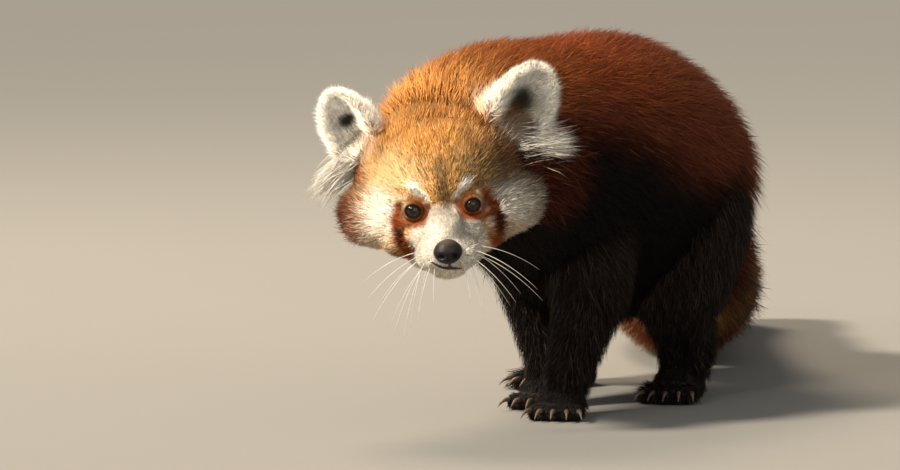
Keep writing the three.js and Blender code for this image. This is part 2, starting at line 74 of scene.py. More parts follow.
FORELEG_LEFT = [
    (26, 46, 150, 28, 34, 34), (31, 48, 118, 30, 34, 34), (34, 50, 84, 27, 29, 27),
    (32, 42, 56, 21, 22, 20), (29, 32, 32, 17, 18, 17), (28, 26, 10, 16, 17, 16),
]
FORELEG_RIGHT = [
    (-26, 78, 150, 28, 34, 34), (-28, 88, 118, 28, 34, 34), (-26, 94, 84, 24, 29, 26),
    (-19, 90, 56, 20, 21, 20), (-12, 84, 32, 17, 18, 17), (-9, 79, 10, 16, 17, 16),
]
THIGH = [
    (36, 208, 136, 34, 34, 34), (43, 184, 114, 42, 44, 44), (49, 160, 90, 38, 44, 42),
    (53, 140, 66, 29, 33, 30), (54, 132, 46, 15, 18, 14),
]
SHANK = [
    (52, 138, 74, 24, 24, 24), (53, 152, 54, 24, 24, 26), (52, 163, 36, 21, 20, 24),
    (50, 166, 12, 18, 17, 20),
]
HIND_RIGHT_BACK = 40
SKIN_DEPTH = {"trunk": 10, "tail": 12, "leg": 5, "paw": 1.6}

FOREPAW = {"wide": 17, "long": 21, "high": 15, "toe": 11, "claw": 12}
HINDPAW = {"wide": 17, "long": 35, "high": 16, "toe": 12, "claw": 11}
PAWS = [
    {"x": 28, "y": 17, "turn": 14, **FOREPAW}, {"x": -8, "y": 69, "turn": 6, **FOREPAW},
    {"x": 51, "y": 148, "turn": 12, **HINDPAW},
    {"x": -51, "y": 148 + HIND_RIGHT_BACK, "turn": -12, **HINDPAW},
]
TOES = 5
TOE_FAN = 19

# The head in its own frame, which faces -Y. Each form has its middle, half sizes, the depth of the
# coat on it, and whether it is paired.
HEAD_AT = np.array([-10.5, -78, 144])
HEAD_ANGLES = {"turn": 27.5, "nod": 9, "tilt": -6}
HEAD_FORMS = [
    ((0, 6, 12), (52, 52, 46), 3.5, False), ((0, -18, 20), (40, 32, 34), 3, False),
    ((14, -24, 14), (19, 19, 16), 1.4, True), ((31, -5, -3), (30, 36, 23), 3.5, True),
    ((23, -28, -10), (19, 17, 17), 2, True), ((0, -44, -4), (13, 26, 13), 1.2, False),
    ((0, -50, -16), (20, 24, 13), 1.2, False), ((9, -60, -18.5), (12, 12, 9.5), 0.8, True),
    ((0, -49, -28), (13, 17.5, 8.5), 1, False), ((0, -16, -24), (27, 34, 18), 3, False),
]
HEAD_BLEND = 7
EYE = {"x": 18, "y": -40.6, "z": 6, "radius": 7.2, "outward": 5, "upward": 9}
# The skin stands up in a ring round each eye: its height, what the brow adds, its radius and softness
ORBIT = {"high": 3.6, "brow": 1.2, "ring": 7.6, "soft": 2.8, "most": 4}
SADDLE_AT = (13.5, -43.5, -7.5)  # the slope from the lower lid to the muzzle
SADDLE_HALF = np.array([10, 8, 8])
NOSE_AT = np.array([0, -70.5, -15])
NOSE_HALF = np.array([9, 7, 7.8])
MOUTH = [  # places on the face
    (-13, -30.5), (-9, -34), (-4, -36.8), (2, -38), (8, -37.8), (13, -35.8), (17, -32)]
EAR = {"x": 46, "y": 12, "z": 40, "sunk": 16, "deep": 11, "wall": 4.5, "fur": 2.5}  # sunk in the head
EARS = [  # cup and grey hold the middle and half size of the cup's dark and grey patches
    {"side": 1, "lean": 30, "tall": 48, "wide": 23, "cup": (-1, 17, 8, 10), "grey": (3, 14, 12, 16)},
    {"side": -1, "lean": 20, "tall": 41, "wide": 19, "cup": (1, 16, 7.5, 4.5), "grey": (1, 16, 7.5, 5)},
]
EAR_SHARES = [(0, 0.8), (0.38, 1), (0.62, 0.97), (0.82, 0.74), (0.95, 0.38), (1, 0)]
SIDE_TUFTS = [  # in the head's frame, the middle of the roots and of the tips
    {"root": (53, 8, 27), "tip": (92, 15, 24), "long": 34},
    {"root": (-53, 8, 28), "tip": (-83, 15, 4), "long": 31},
]
SIDE_TUFT_COUNT = 620

VOXEL = 2.2  # the skin's mesh size
SKIN_FLOOR, TUFT_FLOOR, CLAW_FLOOR = 0.4, 0.3, 0.6  # the lowest that each reaches over the floor
FAR = 1e6

draw = np.random.default_rng(SEED)


# Sums that everything uses.

def turned(axis, degrees):
    return np.array(Matrix.Rotation(math.radians(degrees), 3, axis))


def unit(vectors):
    return vectors / np.maximum(np.linalg.norm(vectors, axis=-1, keepdims=True), 1e-9)


def ease(low, high, value):
    """0 below low and 1 above high, or the other way round, with a soft step between."""
    step = np.clip((value - low) / (high - low), 0, 1)
    return step * step * (3 - 2 * step)


def drift(places, size, seed):
    """A smooth wandering value between about -1 and 1 that changes over the given size."""
    waves = np.random.default_rng(seed)
    ways = waves.normal(size=(3, 7)) * (2 * math.pi / size)
    return 1.5 * np.sin(places @ ways + waves.uniform(0, 2 * math.pi, 7)).mean(1)


HEAD_TURN = turned("Z", HEAD_ANGLES["turn"]) @ turned("X", HEAD_ANGLES["nod"]) @ turned(
    "Y", HEAD_ANGLES["tilt"])


def from_head(places):
    return np.asarray(places, float) @ HEAD_TURN.T + HEAD_AT


def eye_frame(side):
    """The turn that takes the pole of a ball to the way the eye looks, in the head's frame."""
    return turned("Z", side * EYE["outward"]) @ turned("X", 90 - EYE["upward"])


def to_head(places):
    return (places - HEAD_AT) @ HEAD_TURN


def eye_at(side):
    return np.array([side * EYE["x"], EYE["y"], EYE["z"]])


low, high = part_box("eye_left")
SHIFT = np.array((low + high) / 2) / MM - from_head(eye_at(1))


def to_frame(places):
    return (np.asarray(places, float) + SHIFT) * MM


def from_frame(places):
    return places / MM - SHIFT


# Limbs: a smooth line with an oval section.

def smooth_line(stations, shares):
    """Points at shares of a centripetal spline through the stations."""
    points = np.array(stations, float)
    points = np.vstack([2 * points[0] - points[1], points, 2 * points[-1] - points[-2]])
    reach = np.clip(shares, 0, 1) * (len(points) - 3)
    step = np.minimum(reach.astype(int), len(points) - 4)
    part = (reach - step)[:, None]
    a, b, c, d = (points[step + k] for k in range(4))
    gaps = [np.sqrt(np.linalg.norm(q - p, axis=1, keepdims=True)) for p, q in ((a, b), (b, c), (c, d))]
    middle = np.where(gaps[1] < 1e-4, 1, gaps[1])
    first = np.where(gaps[0] < 1e-4, middle, gaps[0])
    last = np.where(gaps[2] < 1e-4, middle, gaps[2])
    start = ((b - a) / first - (c - a) / (first + middle) + (c - b) / middle) * middle
    end = ((c - b) / middle - (d - b) / (middle + last) + (d - c) / last) * middle
    return (b + start * part + (3 * (c - b) - 2 * start - end) * part ** 2
            + (2 * (b - c) + start + end) * part ** 3)


class Limb:
    """A fleshy tube along stations."""

    def __init__(self, stations, depth):
        self.line = [s[:3] for s in stations]
        self.sizes = [s[3:] for s in stations]
        self.depth = depth
        self.shares = np.linspace(0, 1, 90)
        self.middles, self.along, self.left, self.up = self.section(self.shares)
        self.outline = smooth_line(self.sizes, self.shares)
        self.length = np.linalg.norm(np.diff(self.middles, axis=0), axis=1).sum()

    def section(self, shares):
        near = np.clip(shares, 0.001, 0.999)
        along = unit(smooth_line(self.line, near + 0.001) - smooth_line(self.line, near - 0.001))
        left = unit(np.array([1.0, 0, 0]) - along * along[:, :1])
        return smooth_line(self.line, shares), along, left, np.cross(left, along)

    def placed(self, points):
        """Moves a unit sphere's points on to the limb's skin, its poles at the two ends."""
        share = np.arccos(np.clip(points[:, 2], -1, 1)) / math.pi
        angle = np.arctan2(points[:, 1], points[:, 0])
        end = np.minimum(share, 1 - share) / 0.1
        round_off = np.sqrt(1 - (1 - np.clip(end, 0, 1)) ** 2)
        middle, _, left, up = self.section(share)
        size = smooth_line(self.sizes, share) - self.depth
        tall = np.where(np.sin(angle) > 0, size[:, 1], size[:, 2])
        return (middle + left * (np.cos(angle) * size[:, 0] * round_off)[:, None]
                + up * (np.sin(angle) * tall * round_off)[:, None])

    def read(self, places):
        """For each place: share along, angle, way along and distance outside the outline."""
        gaps = ((places ** 2).sum(1)[:, None] - 2 * places @ self.middles.T
                + (self.middles ** 2).sum(1)[None])
        near = np.argmin(gaps / (self.outline.mean(1) ** 2)[None], axis=1)
        away = places - self.middles[near]
        across = (away * self.left[near]).sum(1)
        rise = (away * self.up[near]).sum(1)
        past = (away * self.along[near]).sum(1)
        size = self.outline[near]
        tall = np.where(rise > 0, size[:, 1], size[:, 2])
        ratio = np.sqrt((across / size[:, 0]) ** 2 + (rise / tall) ** 2)
        flat = np.hypot(across, rise)
        out = flat * (1 - 1 / np.maximum(ratio, 0.05))
        beyond = np.where((near == 0) | (near == len(self.shares) - 1), np.abs(past), 0)
        return self.shares[near], np.arctan2(rise, across), self.along[near], np.hypot(
            np.maximum(out, 0), beyond) + np.minimum(out, 0)


def mirrored(stations):
    return [(-x, y + HIND_RIGHT_BACK, z, *size) for x, y, z, *size in stations]


trunk = Limb(TRUNK, SKIN_DEPTH["trunk"])
tail = Limb(TAIL, SKIN_DEPTH["tail"])
legs = [Limb(part, SKIN_DEPTH["leg"]) for part in (
    FORELEG_LEFT, FORELEG_RIGHT, THIGH, SHANK, mirrored(THIGH), mirrored(SHANK))]


# Small helpers for Blender's pieces.

def deselect():
    for piece in bpy.context.selected_objects:
        piece.select_set(False)


def points_of(piece):
    points = np.zeros(len(piece.data.vertices) * 3, np.float32)
    piece.data.vertices.foreach_get("co", points)
    return points.reshape(-1, 3).astype(float)


def move_points(piece, places):
    piece.data.vertices.foreach_set("co", places.astype(np.float32).ravel())
    piece.data.update()


def sphere(across, rings, place):
    """A ball whose points the place function sets, in millimetres."""
    deselect()
    bpy.ops.mesh.primitive_uv_sphere_add(segments=across, ring_count=rings, radius=1)
    piece = bpy.context.object
    move_points(piece, to_frame(place(points_of(piece))))
    return piece


def joined(pieces, name):
    deselect()
    for piece in pieces:
        piece.select_set(True)
    bpy.context.view_layer.objects.active = pieces[0]
    bpy.ops.object.join()
    pieces[0].name = name
    pieces[0].data.name = name
    return pieces[0]


def modified(piece, kind, **settings):
    bpy.context.view_layer.objects.active = piece
    modifier = piece.modifiers.new(kind, kind)
    for key, value in settings.items():
        setattr(modifier, key, value)
    bpy.ops.object.modifier_apply(modifier=modifier.name)
    return piece


def face_out(piece):
    """Turns every face outwards."""
    deselect()
    piece.select_set(True)
    bpy.context.view_layer.objects.active = piece
    bpy.ops.object.mode_set(mode="EDIT")
    bpy.ops.mesh.select_all(action="SELECT")
    bpy.ops.mesh.normals_make_consistent(inside=False)
    bpy.ops.object.mode_set(mode="OBJECT")
    return piece


def smooth_shade(piece):
    piece.data.polygons.foreach_set("use_smooth", np.ones(len(piece.data.polygons), bool))
    piece.data.update()


def paint(piece, colours):
    """Sets a colour on each vertex."""
    layer = piece.data.color_attributes.new("coat", "FLOAT_COLOR", "POINT")
    shades = np.ones((len(colours), 4), np.float32)
    shades[:, :3] = colours
    layer.data.foreach_set("color", shades.ravel())


def dress(piece, name, material, nodes=()):
    """Names a finished piece, gives it its material, hangs it on the root body and hides the solids that it
    stands for.
    """
    piece.name = name
    piece.data.name = name
    piece.data.materials.clear()
    piece.data.materials.append(material)
    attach(piece, "root")
    if nodes:
        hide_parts(*nodes)
    return piece


# Colours.

def linear(code):
    """An sRGB hex colour as linear red, green and blue."""
    parts = np.array([int(code[k:k + 2], 16) for k in (1, 3, 5)]) / 255
    return np.where(parts <= 0.04045, parts / 12.92, ((parts + 0.055) / 1.055) ** 2.4)


def plain(code, count):
    return np.tile(linear(code), (count, 1))


def washed(colours, *layers):
    """Lays further colours over others in turn, each where its mask is 1."""
    for mask, code in layers:
        mask = np.clip(mask, 0, 1)[:, None]
        colours = colours * (1 - mask) + linear(code)[None] * mask
    return colours


def spot(a, b, middle, half, soft=0.25):
    ratio = np.hypot((a - middle[0]) / half[0], (b - middle[1]) / half[1])
    return ease(1 + soft, 1 - soft, ratio)


def stripe(a, b, points, half, soft=1.5):
    """1 within half of a line through the points."""
    nearest = np.full(len(a), np.inf)
    for (a0, b0), (a1, b1) in zip(points, points[1:]):
        run = np.array([a1 - a0, b1 - b0], float)
        step = np.clip(((a - a0) * run[0] + (b - b0) * run[1]) / (run @ run), 0, 1)
        nearest = np.minimum(nearest, np.hypot(a - a0 - run[0] * step, b - b0 - run[1] * step))
    return ease(half + soft, half - soft, nearest)


FACE_SLOPE = math.radians(14)  # the face is mapped as it shows from the front and a little above


def face_map(h):
    """Across and up on the face, from the middle of the eyes, for places in the head's frame."""
    up = (h[:, 2] - EYE["z"]) * math.cos(FACE_SLOPE) - (EYE["y"] - h[:, 1]) * math.sin(FACE_SLOPE)
    return h[:, 0], up


WHITE_CHEEKS = ((-1, (-38, -3), (12, 18)), (1, (42, -4), (15, 18)))  # side, middle and half size
WHITE_MUZZLE = (((1, -25), (25, 26), 0.12), ((1, -8), (14, 11), 0.2))  # middle, half size and softness
EYE_MARKS = (  # side, then lines on the face: inner corner, below the eye, tear band and its dark core
    (-1, [(-9.5, 1.5), (-11.5, -1.5)], [(-13, -8.2), (-19, -8.6), (-26, -7)],
     [(-26.5, 3), (-29, -6), (-29, -13), (-27.5, -20), (-23.5, -26)], [(-29.5, -11), (-28, -20)]),
    (1, [(9, 3), (10.5, -0.5)], [(12, -6.5), (20, -8), (29, -6.5)],
     [(27.5, 6), (31.5, -2), (33.5, -8), (33.5, -15.5), (31, -23)], [(34, -8), (33.5, -18)]),
)


def head_colours(h):
    """The markings of the head, which are white, gold, rust and near black."""
    a, b = face_map(h)
    n = len(h)
    # The edges of the markings wander, less near the eyes and more on the sides of the face
    steady = 0.35 + 0.65 * ease(9, 20, np.hypot(np.abs(a) - EYE["x"], b))
    a = a + (0.9 * drift(h, 9, 1) + draw.normal(0, 0.5, n)) * steady
    b = b + (0.9 * drift(h, 9, 2) + draw.normal(0, 0.5, n)) * steady
    a = a + draw.normal(0, 2.2, n) * ease(38, 47, np.abs(a))
    wide = np.abs(a)
    low = ease(16, 8, b)
    colours = washed(
        plain("#dfab68", n),
        # Forehead and crown
        (ease(24, 46, b), "#e5a452"),
        # Paler left temple and grey-brown right temple: partly their own colours, partly painted light on
        # the lit side and painted shade on the shaded side
        (spot(a, b, (-27, 20), (18, 16), 0.5) * 0.85, "#e6c796"),
        (spot(a, b, (30, 24), (20, 18), 0.5) * 0.75, "#a58559"),
        (spot(a, b, (2, 54), (8, 6), 0.6) * 0.6, "#8a3d14"),
        # The crown is lightened: partly its own gold, partly painted sunlight on its upward-facing top
        (ease(8, 36, h[:, 1]) * ease(10, 30, h[:, 2]), "#ffd898"),
        (ease(44, 66, h[:, 1]), "#f0b066"),
        (ease(40, 47, wide) * ease(10, 22, b) * ease(52, 40, b), "#a9592c"),
        # Red-brown fringe that frames the cheeks, darker under the jaw
        (ease(40, 52, wide) * low, "#c08c5e"),
        (np.maximum(ease(46, 58, wide) * low, ease(-17, -25, b) * ease(27, 33, wide)), "#83492f"),
        (np.maximum(ease(55, 62, wide) * low, ease(-24, -34, b) * ease(26, 34, wide)), "#4a1f18"),
        (ease(38, 48, wide) * ease(-8, -20, b) * 0.8, "#5c3126"),
        (ease(56, 60, wide) * ease(12, 18, b), "#efe6d2"))
    for side, middle, half in WHITE_CHEEKS:
        colours = washed(
            colours,
            (spot(a, b, middle, half, 0.45), "#f6eedf"),
            (spot(a, b, (middle[0], middle[1] - 15), (9, 7), 0.5) * 0.5, "#d8b68a"),
            (stripe(a, b, [(side * 17, 15), (side * 10, 5)], 3.2, 1.6), "#fbf5ea"))
    muzzle = np.maximum.reduce([spot(a, b, *patch) for patch in WHITE_MUZZLE])
    colours = washed(
        colours,
        (muzzle * ease(6, -2, b), "#f9f2e4"),
        (ease(-36, -42, b) * ease(22, 8, wide) * 0.5, "#fdf0d4"))
    # Rust bands from the eyes to the corners of the mouth, and round the eyes
    for side, corner, under, band, core in EYE_MARKS:
        above = [(side * 12, 6), (side * 18, 8.4), (side * 23, 6.5)]
        outer = [(side * 23.6, -4), (side * 24, 3), (side * 22.5, 8)]
        colours = washed(
            colours,
            (spot(a, b, (side * 18, -1.5), (9.5, 8.5), 0.25), "#b4682e"),
            (stripe(a, b, corner, 1.8, 1.4), "#9c4f20"),
            (stripe(a, b, under, 1.9, 1.5), "#ad561d"),
            (stripe(a, b, band, 3.4, 2.0), "#9c4d1c"),
            (stripe(a, b, core, 2.2, 2.4), "#3f160a"),
            (stripe(a, b, above, 1.4, 1.3), "#a86a34"),
            (stripe(a, b, outer, 0.9, 0.9), "#edd6ac"))
    return washed(
        colours,
        # Grey-brown stripe down the bridge, and below it a faint grey line down the middle of the muzzle,
        # which is painted shade where the lit side of the face meets its shaded side
        (stripe(a, b, [(1, 26), (1.5, 12), (2, 2)], 3.4, 2) * 0.75, "#70583c"),
        (stripe(a, b, [(2, 2), (2, -12)], 3, 3) * 0.3, "#a89a88"),
        # Throat and the underside
        (ease(-38, -44, b) * ease(-44, -34, h[:, 1]), "#2a1712"),
        (ease(-6, 14, h[:, 1]) * ease(-16, -26, h[:, 2]), "#1d110f"))


CHEEK_SHADE = {"at": np.array([66, 22, 6]), "reach": 38}  # dark red hair of the neck by the left cheek, partly its own colour and partly painted shade on that side


def body_colours(share, height, p):
    """The trunk, from its share along and the sine of its angle round: rust above, black below. The darker
    flanks and the black reaching up the sides are partly the coat's own colour and partly painted shade.
    """
    edge = 0.24 - 0.42 * ease(0.3, 0.7, share) + 0.1 * drift(p, 60, 4)
    h = to_head(p)
    a, b = face_map(h)
    from_cheek = np.linalg.norm(h - CHEEK_SHADE["at"], axis=1)
    return washed(
        plain("#b4592a", len(p)),
        (ease(0.4, 0.16, share), "#cc7638"),
        (ease(0.27, 0.1, share), "#eaa75c"),
        (ease(0.45, 0.75, share), "#935236"),
        # Darker flanks, the dark band and the black up the sides: real markings, darkened and raised further
        # as painted shade
        (ease(0.85, 0.35, height), "#84402a"),
        (ease(edge + 0.35, edge, height), "#4d1c0c"),
        (ease(edge + 0.1, edge - 0.3, height), "#120a09"),
        (spot(a, b, (-38, 66), (10, 9), 0.5) * 0.8, "#45181a"),
        # Painted shade: the neck by the left cheek, on the shaded side, darkened to dark red
        (ease(CHEEK_SHADE["reach"], CHEEK_SHADE["reach"] * 0.5, from_cheek), "#4f1c12"))


TAIL_RINGS = 6
RINGED = {"from": 0.14, "share": 0.76}  # the stretch of the tail that the rings take up


def tail_colours(share, p):
    """Buff rings between rust ones, and a dark tip."""
    turn = (share - RINGED["from"]) / RINGED["share"] * TAIL_RINGS + 0.05 * drift(p, 30, 5)
    ring = np.cos(turn * 2 * math.pi)
    return washed(
        plain("#8c3a17", len(p)),
        (ease(-0.15, -0.65, ring) * ease(0.12, 0.2, share), "#c8955a"),
        (ease(0.9, 0.96, share), "#24130f"))


# The ears' own frame.

def ear_turn(ear):
    lean = ear["side"] * ear["lean"]
    return turned("Y", lean) @ turned("Z", 0.6 * lean)


def to_ear(h, ear):
    return (h - np.array([ear["side"] * EAR["x"], EAR["y"], EAR["z"]])) @ ear_turn(ear)


def from_ear(places, ear):
    return places @ ear_turn(ear).T + np.array([ear["side"] * EAR["x"], EAR["y"], EAR["z"]])


def ear_colours(e, out, ear):
    """A cream ear with a dark cup, partly its own dark hair and partly painted shade in the hollow, and a
    rusty back.
    """
    share = (e[:, 2] + EAR["sunk"]) / (ear["tall"] + EAR["sunk"])
    edge = np.abs(e[:, 0]) / (ear["wide"] * np.interp(share, *zip(*EAR_SHARES)) + 1e-6)
    front = ease(0.1, -0.35, out[:, 1])
    back = ease(0.2, 0.6, out[:, 1]) * ease(0.85, 0.6, edge) * ease(0.85, 0.6, share)
    cup, grey = ear["cup"], ear["grey"]
    return washed(
        plain("#fffaee", len(e)),
        (front * spot(e[:, 0], e[:, 2], grey[:2], grey[2:], 0.45) * 0.6, "#a89f86"),
        # Dark cup: partly dark inner hair, partly painted shade deep in the ear's hollow
        (front * spot(e[:, 0], e[:, 2], cup[:2], cup[2:], 0.45) * 0.95, "#241e19"),
        (back, "#6a2a18"))


# The skin: every form as a ball or tube, fused into one closed surface.

def ball_at(middle, half, turn=np.eye(3), across=28, rings=18, move=None):
    """An oval ball; move takes it from its own frame to the solids'."""
    def place(points):
        places = points * half @ turn.T + middle
        return move(places) if move else places
    return sphere(across, rings, place)


def head_forms():
    for middle, half, depth, paired in HEAD_FORMS:
        for side in (1, -1) if paired else (1,):
            yield np.array([side * middle[0], *middle[1:]], float), np.array(half, float), depth


def head_out(h):
    """Roughly how far places lie outside the head's blended forms."""
    field = np.full(len(h), FAR)
    for middle, half, _ in head_forms():
        near = (h - middle) / half
        reach = np.linalg.norm(near, axis=1)
        one = reach * (reach - 1) / np.maximum(np.linalg.norm(near / half, axis=1), 1e-6)
        mix = np.maximum(HEAD_BLEND - np.abs(field - one), 0) / HEAD_BLEND
        field = np.minimum(field, one) - mix ** 2 * HEAD_BLEND / 4
    return field


def ear_skin(ear):
    """A leaf-shaped shell whose front half is pressed in to a cup."""
    def place(points):
        share = (points[:, 2] + 1) / 2
        breadth = np.interp(share, *zip(*EAR_SHARES))
        turn = np.arctan2(points[:, 1], points[:, 0])
        wide = ear["wide"] - EAR["fur"]
        x = np.cos(turn) * wide * breadth
        back = np.sin(turn) * EAR["deep"] * breadth
        inner = np.clip(x / np.maximum((wide - EAR["wall"]) * breadth, 1e-6), -1, 1)
        cup = EAR["deep"] * breadth * np.sqrt(1 - inner ** 2) - 1.6 * EAR["wall"]
        low_part = ease(0.16, 0.34, share)
        front = cup * low_part + back * (1 - low_part)
        y = np.where(points[:, 1] > 0, back, front) - 6 * np.sin(share * math.pi / 2)
        z = -EAR["sunk"] + share * (ear["tall"] - EAR["fur"] + EAR["sunk"])
        return from_head(from_ear(np.column_stack([x, y, z]), ear))
    return sphere(36, 28, place)


def paw_frame(paw):
    turn = turned("Z", paw["turn"])
    return lambda places: places @ turn.T + np.array([paw["x"], paw["y"], 0])


def toe_frames(paw):
    """Each toe's middle and turn in the paw's frame."""
    for k in range(TOES):
        fan = math.radians((k - (TOES - 1) / 2) * TOE_FAN)
        reach = paw["long"] * 0.62 * math.cos(fan * 0.8)
        yield (np.array([math.sin(fan) * paw["wide"] * 1.25, -reach, paw["toe"] * 0.45]),
               turned("Z", math.degrees(fan * 0.5)))


def raise_orbits(places):
    """Lifts the skin round each eye, so that it meets the lids and the brow stands over them."""
    h = to_head(places)
    for side in (1, -1):
        turn = eye_frame(side)
        near = (h - eye_at(side)) @ turn
        radius = np.hypot(near[:, 0], near[:, 1])
        brow = ORBIT["brow"] * np.clip(near[:, 1] / np.maximum(radius, 1e-6), 0, 1)
        high = ORBIT["high"] + brow - ((radius - ORBIT["ring"]) / ORBIT["soft"]) ** 2
        lift = np.where(near[:, 2] > -4, np.clip(high - near[:, 2], 0, ORBIT["most"]), 0)
        h = h + lift[:, None] * turn[:, 2]
    return from_head(h)


def make_skin():
    pieces = [sphere(40, 60, limb.placed) for limb in (trunk, tail)]
    pieces += [sphere(28, 36, limb.placed) for limb in legs]
    for middle, half, depth in head_forms():
        pieces.append(ball_at(middle, half - depth, move=from_head))
    for side in (1, -1):
        saddle = np.array([side * SADDLE_AT[0], *SADDLE_AT[1:]])
        pieces.append(ball_at(saddle, SADDLE_HALF, move=from_head))
    pieces += [ear_skin(ear) for ear in EARS]
    shrink = SKIN_DEPTH["paw"]
    for paw in PAWS:
        move = paw_frame(paw)
        palm = np.array([paw["wide"], paw["long"] * 0.85, paw["high"]]) - shrink
        pieces.append(ball_at(np.array([0, paw["long"] * 0.25, paw["high"] * 0.45]), palm, move=move))
        for middle, turn in toe_frames(paw):
            toe = paw["toe"] * np.array([0.44, 0.95, 0.62]) - shrink * 0.5
            pieces.append(ball_at(middle, toe, turn, 16, 12, move))
    skin = joined(pieces, "skin")
    modified(skin, "REMESH", mode="VOXEL", voxel_size=VOXEL * MM)
    modified(skin, "SMOOTH", factor=0.5, iterations=5)
    places = raise_orbits(from_frame(points_of(skin)))
    places[:, 2] = np.maximum(places[:, 2], SKIN_FLOOR)
    move_points(skin, to_frame(places))
    smooth_shade(skin)
    deselect()
    skin.select_set(True)
    bpy.context.view_layer.objects.active = skin
    bpy.ops.object.mode_set(mode="EDIT")
    bpy.ops.mesh.select_all(action="SELECT")
    bpy.ops.uv.smart_project(angle_limit=math.radians(70), island_margin=0.001)
    bpy.ops.object.mode_set(mode="OBJECT")
    skin.data.uv_layers[0].name = "OFBake"
    return skin


# What the coat is like at each place on the skin.

REGIONS = (  # name, slot, the share of its tufts that are bent, and how far tips may stand proud
    ("head", "coat_face", 0.25, 2.5), ("ear", "coat_ear", 0, 2.5), ("body", "coat_red", 0.28, 1.0),
    ("tail", "coat_ringed", 0.3, 1.5), ("leg", "coat_dark", 0.25, 1.0), ("paw", "coat_dark", 0, 1.0))
HEAD_HAIR, EAR_HAIR, BODY_HAIR, TAIL_HAIR, LEG_HAIR, PAW_HAIR = range(len(REGIONS))
REGION_BLEND = 3.5

# The tufts of each region: how long and wide they are, and how many grow on a square millimetre.
# Each is a pair of stations and values. The stations are millimetres from the nose on the head and
# shares of the way along the trunk, tail and legs, and a single value holds all over.
COAT = {
    "long": (
        ((8, 16, 28, 45, 66, 90, 125), (2, 2.6, 3.8, 5.5, 8, 10.5, 18)), ((0,), (6,)),
        ((0.05, 0.2, 0.5, 1), (15, 23, 29, 32)), ((0, 0.3, 1), (28, 33, 32)),
        ((0.3, 0.6, 1), (21, 15, 10)), ((0,), (5,))),
    "wide": (
        ((8, 30, 60, 120), (0.38, 0.44, 0.52, 0.7)), ((0,), (0.45,)), ((0,), (0.68,)), ((0,), (0.75,)),
        ((0.3, 1), (0.62, 0.5)), ((0,), (0.55,))),
    "many": (
        ((8, 34, 70, 110), (4.6, 3.8, 3.0, 1.7)), ((0,), (3.4,)), ((0,), (0.54,)), ((0,), (0.5,)),
        ((0,), (0.78,)), ((0,), (1.2,))),
}
RUFF_LONG, CHIN_LONG = 7, 1.5  # how much longer the hair of the cheeks and the chin is
EYE_HAIR = {"long": 2.2, "wide": 0.4, "rise": math.radians(12), "part": 1.6, "bare": 5.6}
RISE = {"fill": 1.45, "least": 0.14, "most": 0.62}  # sines of the angle at which tufts leave the skin


def paw_out(p):
    best = np.full(len(p), FAR)
    for paw in PAWS:
        local = (p - np.array([paw["x"], paw["y"], 0])) @ turned("Z", paw["turn"])
        half = np.array([paw["wide"] * 1.15, paw["long"] * 1.25, paw["high"]])
        ratio = np.linalg.norm((local - np.array([0, 0, paw["high"] * 0.4])) / half, axis=1)
        best = np.minimum(best, (ratio - 1) * paw["wide"])
    return best


def ear_out(e, ear):
    half = (ear["tall"] + 6) / 2
    ratio = np.hypot(e[:, 0] / ear["wide"], (e[:, 2] - half + 6) / half)
    return np.maximum((ratio - 1) * 20, np.abs(e[:, 1] + 3) - 12)


def read_place(p):
    """How places lie to each part of the body, and the share that each region has in them."""
    h = to_head(p)
    a, b = face_map(h)
    ears = [to_ear(h, ear) for ear in EARS]
    ear_gaps = np.array([ear_out(e, ear) for e, ear in zip(ears, EARS)])
    trunk_share, trunk_angle, trunk_way, trunk_gap = trunk.read(p)
    tail_share, _, tail_way, tail_gap = tail.read(p)
    leg_shares, _, leg_ways, leg_gaps = (np.array(read) for read in zip(*(leg.read(p) for leg in legs)))
    leg = (np.argmin(leg_gaps, axis=0), np.arange(len(p)))
    head_gap, ear_gap, leg_gap = head_out(h), ear_gaps.min(0), leg_gaps.min(0)
    gaps = np.column_stack([
        head_gap + 1.5, ear_gap - 1, trunk_gap + SKIN_DEPTH["trunk"], tail_gap + SKIN_DEPTH["tail"],
        leg_gap + SKIN_DEPTH["leg"], paw_out(p)])
    gaps = np.maximum(gaps, 0)
    weights = np.exp(-(gaps - gaps.min(1, keepdims=True)) / REGION_BLEND)
    weights /= weights.sum(1, keepdims=True)
    return SimpleNamespace(
        p=p, h=h, a=a, b=b, nose_gap=np.linalg.norm(h - NOSE_AT, axis=1), head_gap=head_gap,
        ears=ears, nearest_ear=np.argmin(ear_gaps, axis=0), ear_gap=ear_gap,
        trunk_share=trunk_share, trunk_angle=trunk_angle, trunk_way=trunk_way, trunk_gap=trunk_gap,
        tail_share=tail_share, tail_way=tail_way, tail_gap=tail_gap,
        leg_share=leg_shares[leg], leg_way=leg_ways[leg], leg_gap=leg_gap, weights=weights)


